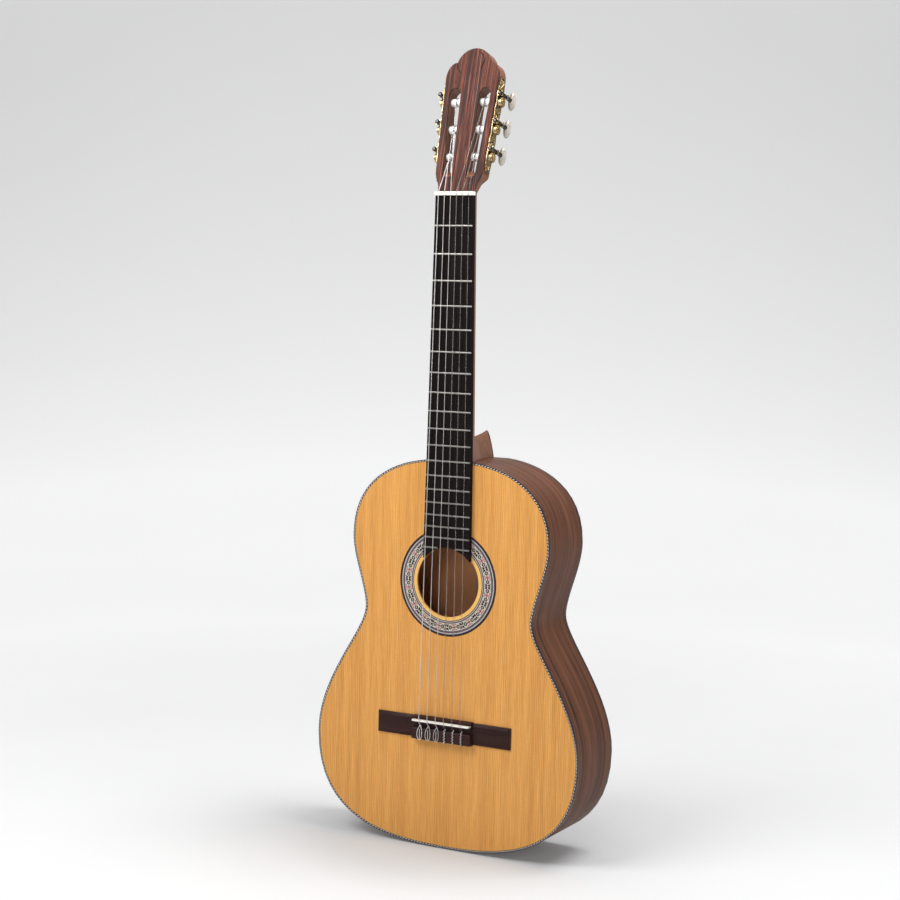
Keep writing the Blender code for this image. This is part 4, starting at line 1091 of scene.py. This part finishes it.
def groove_bar(start, end, width):
    """A square bar standing on its edge between two points of the face, in a dark wood that paints shade
    on the walls it cuts.
    """
    let_go()
    bpy.ops.mesh.primitive_cube_add(size=1, location=(0, 0, 0))
    bar = bpy.context.object
    axis = (end - start).normalized()
    size = Matrix.Diagonal((width, width, (end - start).length + width, 1))
    turn = Matrix((face_back.cross(axis), face_back, axis)).transposed().to_4x4()
    on_edge = turn @ Matrix.Rotation(math.pi / 4, 4, "Z")
    bar.data.transform(Matrix.Translation((start + end) / 2) @ on_edge @ size)
    # Painted shade: the walls this bar cuts take its dark rosewood, so each groove reads as a dark line.
    bar.data.materials.append(edge_wood)
    return bar


for path in GROOVES:
    for a, b in zip(path, path[1:]):
        carve(facing, groove_bar(on_face(*a), on_face(*b), GROOVE_WIDTH), material_mode="TRANSFER")
finish_piece(facing, "head_veneer_face", [], angle=20)
darkened_groove_faces = sum(face.material_index > 0 for face in facing.data.polygons)
print("veneer with", sum(len(path) - 1 for path in GROOVES), "grooves of", darkened_groove_faces, "faces")

# %% [markdown]
# ## Turned parts
# Shafts, screws, collars and sleeves all come off a lathe. A turned part starts as one filled
# circle. Each step of its profile extrudes the end face along Z and scales it to the next radius.

# %% The lathe
def turned(profile, sides=32):
    """A closed turned shape along Z. The profile is a list of heights and radii."""
    let_go()
    height, radius = profile[0]
    bpy.ops.mesh.primitive_circle_add(vertices=sides, radius=radius, fill_type="NGON",
                                      location=(0, 0, height))
    part = bpy.context.object
    bpy.ops.object.transform_apply(location=True)
    bpy.ops.object.mode_set(mode="EDIT")
    bpy.ops.mesh.select_all(action="SELECT")
    for (low, before), (high, after) in zip(profile, profile[1:]):
        bpy.ops.mesh.extrude_region_move(TRANSFORM_OT_translate={"value": (0, 0, high - low)})
        ratio = after / before
        bpy.ops.transform.resize(value=(ratio, ratio, 1), center_override=(0, 0, high))
    bpy.ops.mesh.select_all(action="SELECT")
    bpy.ops.mesh.normals_make_consistent(inside=False)
    bpy.ops.object.mode_set(mode="OBJECT")
    return part


def reach_of(node_name, frame_of_part, low, high):
    """The stretch along X, in a part's own frame, of its points between two distances from X."""
    back = frame_of_part.inverted()
    found = [back @ vertex.co for vertex in nodes[node_name].data.vertices]
    along_x = [p.x for p in found if low <= math.hypot(p.y, p.z) <= high]
    return min(along_x), max(along_x)


def roller_frame(side, number):
    """A roller's own frame: X along its axis, Y back along the key's."""
    turn = joint_of[f"roller_{side}_{number}"]
    return axes_at(turn["pos_m"], turn["axis"], joint_of[f"key_{side}_{number}"]["axis"])


ALONG_X = Matrix(((0, 0, 1, 0), (1, 0, 0, 0), (0, 1, 0, 0), (0, 0, 0, 1)))
ALONG_Y = Matrix(((1, 0, 0, 0), (0, 0, 1, 0), (0, -1, 0, 0), (0, 0, 0, 1)))
OUTWARD = {"treble": ALONG_X, "bass": Matrix.Rotation(math.pi, 4, "Y") @ ALONG_X}
print("lathe ready")

# %% [markdown]
# ## Gears and screws
# Outside the head each roller carries a brass gear of 14 teeth, held by a slotted screw. The gear
# starts as a cylinder of 84 sides, six to a tooth, and some of each six are pushed outwards. The
# screw head is turned, and a block cuts its slot.

# %% Gears and screws
TEETH = 14


def toothed_wheel(root, crest, thick):
    """A gear with its axis along Z and a gap between two teeth at +Y."""
    let_go()
    bpy.ops.mesh.primitive_cylinder_add(vertices=6 * TEETH, radius=root, depth=thick, location=(0, 0, 0))
    wheel = bpy.context.object

    def on_tooth(face):
        phase = (math.atan2(face.center.x, face.center.y) / math.pi * TEETH) % 2
        return abs(face.normal.z) < 0.5 and abs(phase - 1) < 0.3

    pick_faces(wheel, on_tooth)
    bpy.ops.mesh.extrude_region_shrink_fatten(TRANSFORM_OT_shrink_fatten={"value": crest - root})
    bpy.ops.mesh.select_mode(type="VERT")
    bpy.ops.object.mode_set(mode="OBJECT")
    soften(wheel, 0.00012, 1)
    apply_modifiers(wheel)
    return wheel


def slotted_screw(radius, height):
    """A domed screw head with a slot cut across it, its base at z = 0."""
    head = turned([(0, radius * 0.9), (height * 0.15, radius), (height * 0.5, radius * 0.97),
                   (height * 0.85, radius * 0.75), (height, radius * 0.4)], 24)
    let_go()
    bpy.ops.mesh.primitive_cube_add(size=1, location=(0, 0, 0))
    blade = bpy.context.object
    size = Matrix.Diagonal((radius * 3, radius * 0.28, height, 1))
    blade.data.transform(Matrix.Translation((0, 0, height)) @ size)
    carve(head, blade)
    return head


print("gear of", TEETH, "teeth")

# %% [markdown]
# ## Rollers
# Each roller is a steel pin in a white nylon sleeve with a string hole drilled through it. It is
# turned in one go: a thin end for the rib of the head, the wide sleeve that the string winds on,
# and a neck through the side of the head. How far the sleeve reaches is measured on the CAD
# roller. Gear and screw then sit on its outer end, and all three ride with the roller.

# %% Rollers
GEAR_OUT = 0.0053
GEAR_THICK = 0.0030
for side, sign in (("treble", 1), ("bass", -1)):
    for number in (1, 2, 3):
        body = f"roller_{side}_{number}"
        frame_here = roller_frame(side, number)
        outward = frame_here @ OUTWARD[side]
        sleeve_low, sleeve_high = sorted(sign * x for x in reach_of(body, frame_here, 0.00495, 0.00505))
        tip = min(sign * x for x in reach_of(body, frame_here, 0.0029, 0.0031))
        sleeve = turned([(tip, 0.0026), (tip + 0.0004, 0.0030), (sleeve_low, 0.0030), (sleeve_low, 0.0046),
                         (sleeve_low + 0.0004, 0.0050), (sleeve_high - 0.0004, 0.0050),
                         (sleeve_high, 0.0046), (sleeve_high, 0.0034), (0.0022, 0.0034), (0.0022, 0.0046),
                         (GEAR_OUT - GEAR_THICK / 2, 0.0046)], 48)
        let_go()
        bpy.ops.mesh.primitive_cylinder_add(vertices=16, radius=0.0008, depth=0.02,
                                            location=(0, 0, (sleeve_low + sleeve_high) / 2),
                                            rotation=(math.pi / 2, 0, 0))
        carve(sleeve, bpy.context.object)
        finish_piece(sleeve, f"{body}_sleeve", white_nylon, body, outward)
        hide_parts(body)
        wheel = toothed_wheel(0.0055, 0.0064, GEAR_THICK)
        wheel.data.transform(Matrix.Translation((0, 0, GEAR_OUT)))
        screw = slotted_screw(0.0027, 0.0012)
        seat = Matrix.Translation((0, 0, GEAR_OUT + GEAR_THICK / 2))
        screw.data.transform(seat @ Matrix.Rotation(0.7 * number, 4, "Z"))
        for piece, kind in ((wheel, "gear"), (screw, "screw")):
            finish_piece(piece, f"{body}_{kind}", bright_brass, body, outward, 30)
print("rollers 6, sleeve from", round(sleeve_low, 4), "to", round(sleeve_high, 4))

# %% [markdown]
# ## Screwed shapes
# A worm thread and a string wound on a roller are the same idea: a circle carried round an axis
# while it climbs. For the worm the circle lies flat and a little off the axis, which gives the
# rounded coil of a small tuner. For a string it stands upright at the roller's surface. The Screw
# modifier does both, and its open ends are closed afterwards.

# %% Screwed shapes
STEPS_A_TURN = 28


def screwed(sides, radius, place, tip, turns, rise):
    """A circle carried round Z in the given turns, climbing by rise, closed at both ends."""
    let_go()
    bpy.ops.mesh.primitive_circle_add(vertices=sides, radius=radius, fill_type="NOTHING",
                                      location=place, rotation=(tip, 0, 0))
    coil = bpy.context.object
    bpy.ops.object.transform_apply(location=True, rotation=True)
    screw = coil.modifiers.new("turns", "SCREW")
    screw.angle = 2 * math.pi * turns
    screw.screw_offset = rise
    screw.steps = round(turns * STEPS_A_TURN)
    screw.render_steps = screw.steps
    screw.use_merge_vertices = False
    apply_modifiers(coil)
    bpy.ops.object.mode_set(mode="EDIT")
    bpy.ops.mesh.select_all(action="SELECT")
    bpy.ops.mesh.remove_doubles(threshold=0.000001)
    bpy.ops.mesh.select_all(action="DESELECT")
    bpy.ops.mesh.select_non_manifold()
    bpy.ops.mesh.edge_face_add()
    bpy.ops.mesh.select_all(action="SELECT")
    bpy.ops.mesh.normals_make_consistent(inside=False)
    bpy.ops.object.mode_set(mode="OBJECT")
    return coil


WORM_RADIUS = 0.0025
WORM_OFFSET = 0.0005
WORM_PITCH = 2 * math.pi * 0.0060 / TEETH
WORM_TURNS = 2.5


def worm():
    """The eccentric thread, centred on the key's middle."""
    rise = WORM_TURNS * WORM_PITCH
    return screwed(28, WORM_RADIUS, (WORM_OFFSET, 0, -rise / 2), 0, WORM_TURNS, rise)


print("worm", round(WORM_TURNS * WORM_PITCH * 1000, 1), "mm long")

# %% [markdown]
# ## Keys
# A key is a black shaft with the worm in its middle and a pearly oval button behind the head. The
# shaft's two ends are turned with their collars and caps. The button starts as a ball, stretched
# to an oval, whose two thumb faces are then pressed a little flatter.

# %% Keys
def oval_button(half):
    """A pearly oval with slightly flattened thumb faces."""
    let_go()
    bpy.ops.mesh.primitive_uv_sphere_add(segments=40, ring_count=24, radius=1, location=(0, 0, 0))
    oval = bpy.context.object
    bpy.ops.object.mode_set(mode="EDIT")
    bpy.ops.mesh.select_all(action="SELECT")
    bpy.ops.transform.resize(value=half, center_override=(0, 0, 0))
    bpy.ops.mesh.select_all(action="DESELECT")
    bpy.ops.object.mode_set(mode="OBJECT")
    for vertex in oval.data.vertices:
        vertex.select = abs(vertex.co.x) > 0.62 * half[0]
    bpy.ops.object.mode_set(mode="EDIT")
    bpy.ops.transform.resize(value=(0.90, 1.03, 1.03), center_override=(0, 0, 0))
    bpy.ops.object.mode_set(mode="OBJECT")
    return oval


BUTTON_HALF = (0.00425, 0.0066, 0.0118)
BUTTON_OUT = 0.0245
SHAFT_FRONT = [(-0.0110, 0.0012), (-0.0107, 0.0022), (-0.0100, 0.0029), (-0.0092, 0.0029),
               (-0.0087, 0.0024), (-0.0085, 0.0016), (-0.0040, 0.0016)]
SHAFT_REAR = [(0.0040, 0.0016), (0.0085, 0.0016), (0.0086, 0.0024), (0.0090, 0.0029),
              (0.0106, 0.0029), (0.0110, 0.0024), (0.0116, 0.0023), (0.0120, 0.0026),
              (0.0172, 0.0026), (0.0176, 0.0029), (0.0190, 0.0029), (0.0194, 0.0023),
              (0.0212, 0.0018)]
for side in ("treble", "bass"):
    for number in (1, 2, 3):
        body = f"key_{side}_{number}"
        turn = joint_of[body]
        across = joint_of[f"roller_{side}_{number}"]["axis"]
        key_frame = axes_at(turn["pos_m"], across, turn["axis"])
        key = joined([turned(SHAFT_FRONT, 28), worm(), turned(SHAFT_REAR, 28)], body + "_worm")
        finish_piece(key, body + "_worm", black_plate, body, key_frame @ ALONG_Y, 40)
        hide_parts(body)
        button = oval_button(BUTTON_HALF)
        button.data.transform(Matrix.Translation((0, BUTTON_OUT, 0)))
        finish_piece(button, body + "_button", pearl, body, key_frame, 60)
thread = [vertex.co for vertex in nodes[body].data.vertices
          if (vertex.co - Vector(turn["pos_m"])).length < 0.004]
error = max(min((point - vertex.co).length for vertex in key.data.vertices) for point in thread)
print("keys 6, the last thread lies within", round(error * 1000, 2), "mm of the CAD one")

# %% [markdown]
# ## Scrollwork
# The tuner plates are stamped with scrolls. Here a scroll is a pair of mirrored spirals of round
# wire on a common stem, like a lyre. It is drawn as a curve with a round bevel, because a curve
# follows a spiral exactly, and then made a mesh so that it can be placed and joined.

# %% A scroll
SCROLL_STEPS = 18


def scroll(turns, start, length, wire):
    """Two mirrored spirals joined like a lyre, lying in XY, as a mesh."""
    curve = bpy.data.curves.new("scroll", "CURVE")
    curve.dimensions = "3D"
    curve.bevel_depth = wire
    curve.bevel_resolution = 2
    curve.use_fill_caps = True
    for flip in (1, -1):
        line_points = [(flip * 0.0004, -length * 0.5)]
        for k in range(SCROLL_STEPS + 1):
            t = k / SCROLL_STEPS
            radius = start * (1 - 0.82 * t)
            angle = -math.pi / 2 + turns * 2 * math.pi * t
            line_points.append((flip * (start + radius * math.cos(angle)),
                                length * 0.35 + radius * math.sin(angle)))
        line = curve.splines.new("POLY")
        line.points.add(len(line_points) - 1)
        for point, (x, y) in zip(line.points, line_points):
            point.co = (x, y, 0, 1)
    made = bpy.data.objects.new("scroll", curve)
    bpy.context.scene.collection.objects.link(made)
    hold(made)
    bpy.ops.object.convert(target="MESH")
    return bpy.context.object


print("scroll helper ready")

# %% [markdown]
# ## Engraved plates
# The CAD plate gives the outline, the bearings and the holes. On the treble side scrolls stand on
# it between the gears, in pairs foot to foot, with one more at the lower end, and four small
# slotted screws hold it, each turned a little differently. The bass side's row lies end for end,
# because OUTWARD turns its heights over, so its lowest screw stands 9 mm below the plate.

# %% Plates
PLATE_FACE = 0.0018           # from the plate's middle out to its face
BETWEEN_GEARS = 0.0185        # from a roller's axis up to the ornament above it
PAIR_STEP = 0.0028
for side in ("treble", "bass"):
    plate = merged_copy(f"tuner_plate_{side}", f"engraved_plate_{side}", 25)
    finish_piece(plate, f"engraved_plate_{side}", brass, angle=25)
    plate_frame = roller_frame(side, 2)
    outward = plate_frame @ OUTWARD[side]
    local = [plate_frame.inverted() @ vertex.co for vertex in plate.data.vertices]
    low_end = min(p.z for p in local)
    high_end = max(p.z for p in local)
    upper, lower = (Vector(joint_of[f"roller_{side}_{number}"]["pos_m"]) for number in (3, 2))
    gaps = (BETWEEN_GEARS - (upper - lower).length, BETWEEN_GEARS)
    ornaments = []
    places = [(low_end + 0.0065, 1)]
    for centre in (*gaps, high_end - 0.0105):
        places += [(centre + PAIR_STEP, 1), (centre - PAIR_STEP, -1)]
    for height, flip in places:
        made = scroll(1.15, 0.0021, 0.0072, 0.00042)
        upright = Matrix.Rotation(0 if flip > 0 else math.pi, 4, "Z")
        made.data.transform(Matrix.Translation((0, height, PLATE_FACE)) @ upright)
        ornaments.append(made)
    heads = []
    for height in (low_end + 0.0022, *gaps, high_end - 0.0022):
        made = slotted_screw(0.0017, 0.0009)
        by_hand = Matrix.Rotation(height * 300, 4, "Z")
        made.data.transform(Matrix.Translation((0, height, PLATE_FACE)) @ by_hand)
        heads.append(made)
    scrolls = joined(ornaments, f"plate_scrolls_{side}")
    finish_piece(scrolls, f"plate_scrolls_{side}", bright_brass, "root", outward, 50)
    screws = joined(heads, f"plate_screws_{side}")
    finish_piece(screws, f"plate_screws_{side}", black_plate, "root", outward, 30)
print("plates", round((high_end - low_end) * 1000, 1), "mm long with 4 screws each")

# %% [markdown]
# ## Strings
# The straight strings keep the CAD route and only take their finish. What comes later, the turns
# on the rollers and the ties at the bridge, needs each string's radius and the place where it
# leaves the saddle, so both are noted here.

# %% Strings
STRING_RADII = (0.00036, 0.00041, 0.00051, 0.00037, 0.00045, 0.00055)
FIRST_WOUND = 4
BELOW_SADDLE = 0.1605
string_data = []
for number, radius in enumerate(STRING_RADII, 1):
    finish = winding if number >= FIRST_WOUND else nylon
    string = merged_copy(f"string_{number}", f"strung_{number}", 80)
    finish_piece(string, f"strung_{number}", finish, angle=80)
    across = [vertex.co.x for vertex in string.data.vertices if vertex.co.z < BELOW_SADDLE]
    string_data.append((number, finish, radius, (min(across) + max(across)) / 2))
print("strings at", [round(x * 1000, 1) for *_, x in string_data], "mm across the saddle")


# %% [markdown]
# ## Turns on the rollers
# On each roller the string takes two turns before it goes through the hole. Those turns belong to
# the roller and ride with it, so they are their own piece. They start where the straight string
# meets the sleeve and lie side by side towards the middle of the head.

# %% Turns on the rollers
SLEEVE_RADIUS = 0.0050
WINDING_TURNS = 2.0
ROLLER_OF_STRING = {6: ("bass", 1), 5: ("bass", 2), 4: ("bass", 3), 3: ("treble", 3), 2: ("treble", 2),
                    1: ("treble", 1)}
for number, finish, radius, _ in string_data:
    side, place = ROLLER_OF_STRING[number]
    body = f"roller_{side}_{place}"
    frame_here = roller_frame(side, place)
    back = frame_here.inverted()
    ends = [back @ vertex.co for vertex in bpy.data.objects[f"strung_{number}"].data.vertices]
    near = [p.x for p in ends if math.hypot(p.y, p.z) < SLEEVE_RADIUS * 1.5]
    coil = screwed(10, radius, (SLEEVE_RADIUS + radius, 0, 0), math.pi / 2, WINDING_TURNS,
                   2.1 * radius * WINDING_TURNS)
    if side == "treble":
        coil.data.transform(Matrix.Scale(-1, 4, (0, 0, 1)))
        coil.data.flip_normals()
    coil.data.transform(Matrix.Translation((0, 0, (min(near) + max(near)) / 2)))
    finish_piece(coil, f"turns_of_string_{number}", finish, body, frame_here @ ALONG_X, 60)
print("windings 6")


# %% [markdown]
# ## Ties at the bridge
# Behind the saddle each string goes through the tie block and back over it. A bass string is tied
# in one wide loop round itself, and a thin treble string is twisted round itself several times.
# Both are smooth curves through a list of points: the loop's points are listed one by one, and the twist's
# comes from a sine.

# %% Ties at the bridge
def tie(number, points, radius, finish):
    """A smooth wire through points, made a mesh."""
    name = f"tie_{number}"
    curve = bpy.data.curves.new(name, "CURVE")
    curve.dimensions = "3D"
    curve.bevel_depth = radius
    curve.bevel_resolution = 3
    curve.resolution_u = 6
    curve.use_fill_caps = True
    line = curve.splines.new("NURBS")
    line.points.add(len(points) - 1)
    for point, place in zip(line.points, points):
        point.co = (*place, 1)
    line.order_u = 4
    line.use_endpoint_u = True
    made = bpy.data.objects.new(name, curve)
    bpy.context.scene.collection.objects.link(made)
    hold(made)
    bpy.ops.object.convert(target="MESH")
    knot = finish_piece(bpy.context.object, name, finish, angle=70)


BLOCK_RISE = 0.0090
block_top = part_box("soundboard")[0].y - BLOCK_RISE
block_front = bridge_high.z - 0.0160
block_back = bridge_low.z
LOOP_HALF = 0.0033
ON_BLOCK = None               # lies on the block, one radius lower
# across in half widths, forwards of the block's top, the edge it is measured from, up from there
LOOP = [(0, -0.0022, "front", 0.0042), (0.4, -0.0010, "front", 0.0030),
        (1, 0.0003, "front", -0.0010), (1.1, ON_BLOCK, "front", -0.0060),
        (0.9, ON_BLOCK, "back", 0.0028), (0.45, 0, "back", 0.0004),
        (-0.2, -0.0006, "back", -0.0003), (-0.75, 0, "back", 0.0012),
        (-1.1, ON_BLOCK, "back", 0.0050), (-1.05, ON_BLOCK, "front", -0.0050),
        (-0.8, 0.0003, "front", 0.0002), (-0.3, -0.0012, "front", 0.0034),
        (0.2, -0.0018, "front", 0.0046)]
TWISTS = 5
TWIST_RADIUS = 0.0009
TWIST_STEPS = 44
edges = {"front": block_front, "back": block_back}
for number, finish, radius, x in string_data:
    lift = block_top - radius - 0.0001
    points = []
    if number >= FIRST_WOUND:
        for across, drop, edge, up in LOOP:
            height = lift - (radius if drop is ON_BLOCK else drop)
            points.append((x + across * LOOP_HALF, height, edges[edge] + up))
        tie(number, points, radius, finish)
        continue
    for k in range(TWIST_STEPS + 1):
        t = k / TWIST_STEPS
        z = block_front + 0.0040 + t * (block_back - block_front - 0.0046)
        fall = max(0.0, (block_front - z) * -0.45)
        phase = 2 * math.pi * TWISTS * t
        points.append((x + TWIST_RADIUS * math.sin(phase),
                       lift - 0.0006 + fall + 0.6 * TWIST_RADIUS * math.cos(phase), z))
    tie(number, points, radius, knotted_nylon)
print("ties 6")

# %% [markdown]
# ## Backdrop
# The guitar stands before one pale sheet that runs from the floor up the wall in a wide curve. It
# glows by itself as painted light: the glow is weakest right under the guitar, where it paints a
# soft shadow, grows with the distance from the guitar and falls again high up, painting the upper wall
# grey.

# %% Backdrop
def painted_glow_sheet_finish():
    finish, tree, shader = new_finish("pale_sheet_painted_glow", Roughness=0.9)
    vector = node(tree, "TexCoord").outputs["Object"]
    paper = noise(tree, vector, 3.0, 3.0)
    tone = mix(tree, paper, (0.46, 0.46, 0.46, 1), (0.50, 0.50, 0.50, 1))
    wire(tree, tone, shader, "Base Color")
    away = node(tree, "VectorMath", {0: vector}, operation="LENGTH").outputs["Value"]
    # Painted light and shade: the glow is least under the guitar for its shadow, most at mid distance, and
    # less again up the wall.
    painted_glow_ramp = node(tree, "ValToRGB", {0: remap(tree, away, 0.0, 6.0)})
    painted_glow_levels = [(0.0, 0.06), (0.026, 0.11), (0.04, 0.23), (0.06, 0.29), (0.14, 0.37),
              (0.27, 0.57), (0.42, 0.65), (0.55, 0.69), (0.82, 0.470), (1.0, 0.42)]
    while len(painted_glow_ramp.color_ramp.elements) < len(painted_glow_levels):
        painted_glow_ramp.color_ramp.elements.new(0.5)
    for stop, (place, level) in zip(painted_glow_ramp.color_ramp.elements, painted_glow_levels):
        stop.position = place
        stop.color = (level, level, level, 1)
    wire(tree, painted_glow_ramp.outputs[0], shader, "Emission Color")
    shader.inputs["Emission Strength"].default_value = 1.0
    return finish


SHEET_HALF = 9.0
SHEET_NEAR = -7.0
FLOOR_LEVEL = -0.001
CURVE_START = 2.4
CURVE_RADIUS = 2.2
CURVE_STEPS = 12
SHEET_TOP = 8.0
AWAY_ANGLE = 0.4975           # the sheet's length runs along the line that the camera looks along


def studio_sheet():
    """A flat floor whose far edge is extruded up a quarter circle and on up the wall."""
    let_go()
    bpy.ops.mesh.primitive_plane_add(size=2, location=(0, 0, 0))
    sheet = bpy.context.object
    for vertex in sheet.data.vertices:
        far = vertex.co.y > 0
        side = SHEET_HALF if vertex.co.x > 0 else -SHEET_HALF
        vertex.co = (side, CURVE_START if far else SHEET_NEAR, FLOOR_LEVEL)
        vertex.select = far
    for edge in sheet.data.edges:
        edge.select = all(sheet.data.vertices[i].select for i in edge.vertices)
    sheet.data.polygons[0].select = False
    profile = [(0.0, 0.0)]
    for k in range(1, CURVE_STEPS + 1):
        angle = k / CURVE_STEPS * math.pi / 2
        profile.append((CURVE_RADIUS * math.sin(angle), CURVE_RADIUS * (1 - math.cos(angle))))
    profile.append((CURVE_RADIUS, SHEET_TOP - FLOOR_LEVEL))
    bpy.ops.object.mode_set(mode="EDIT")
    for (y, z), (next_y, next_z) in zip(profile, profile[1:]):
        bpy.ops.mesh.extrude_edges_move()
        bpy.ops.transform.translate(value=(0, next_y - y, next_z - z))
    bpy.ops.mesh.select_all(action="SELECT")
    bpy.ops.mesh.normals_make_consistent(inside=False)
    bpy.ops.object.mode_set(mode="OBJECT")
    sheet.data.transform(Matrix.Rotation(AWAY_ANGLE, 4, "Z"))
    bpy.ops.object.shade_smooth()
    return sheet


sheet = studio_sheet()
sheet.name = "studio_sheet"
sheet.data.materials.append(painted_glow_sheet_finish())
print("sheet of", len(sheet.data.polygons), "faces")


# %% [markdown]
# ## Lights
# A large soft light stands high on the left, a small one in front lifts the face, a weaker one on
# the right fills the ribs, and a fourth from above gives the shoulder its sheen. The air gives a
# faint cool light from all round, and looks pale where a view passes over the sheet's edge.

# %% Lights
def soft_light(name, place, aim, size, power):
    """A rectangular lamp turned to its aim."""
    lamp = bpy.data.lights.new(name, "AREA")
    lamp.shape = "RECTANGLE"
    lamp.size, lamp.size_y = size
    lamp.energy = power
    holder = bpy.data.objects.new(name, lamp)
    bpy.context.scene.collection.objects.link(holder)
    holder.location = place
    holder.rotation_euler = (Vector(aim) - Vector(place)).to_track_quat("-Z", "Y").to_euler()


soft_light("key_light", (-0.55, -0.95, 1.55), (0, 0, 0.5), (0.9, 0.9), 23)
soft_light("front_light", (0.62, -2.45, 0.95), (0, 0, 0.35), (0.6, 0.6), 9)
soft_light("fill_light", (2.4, -0.8, 1.0), (0, 0, 0.4), (1.4, 2.0), 7)
soft_light("top_light", (0.7, 0.2, 2.0), (0, 0, 0.4), (1.0, 0.8), 32)
world = bpy.data.worlds.new("studio_air")
world.use_nodes = True
air = world.node_tree.nodes["Background"].inputs
air["Color"].default_value = (0.90, 0.93, 1.0, 1)
seen = node(world.node_tree, "LightPath").outputs["Is Camera Ray"]
world.node_tree.links.new(sums(world.node_tree, "MULTIPLY_ADD", seen, 0.45, 0.15), air["Strength"])
bpy.context.scene.world = world
bpy.context.scene.view_settings.view_transform = "Standard"
print("studio ready")
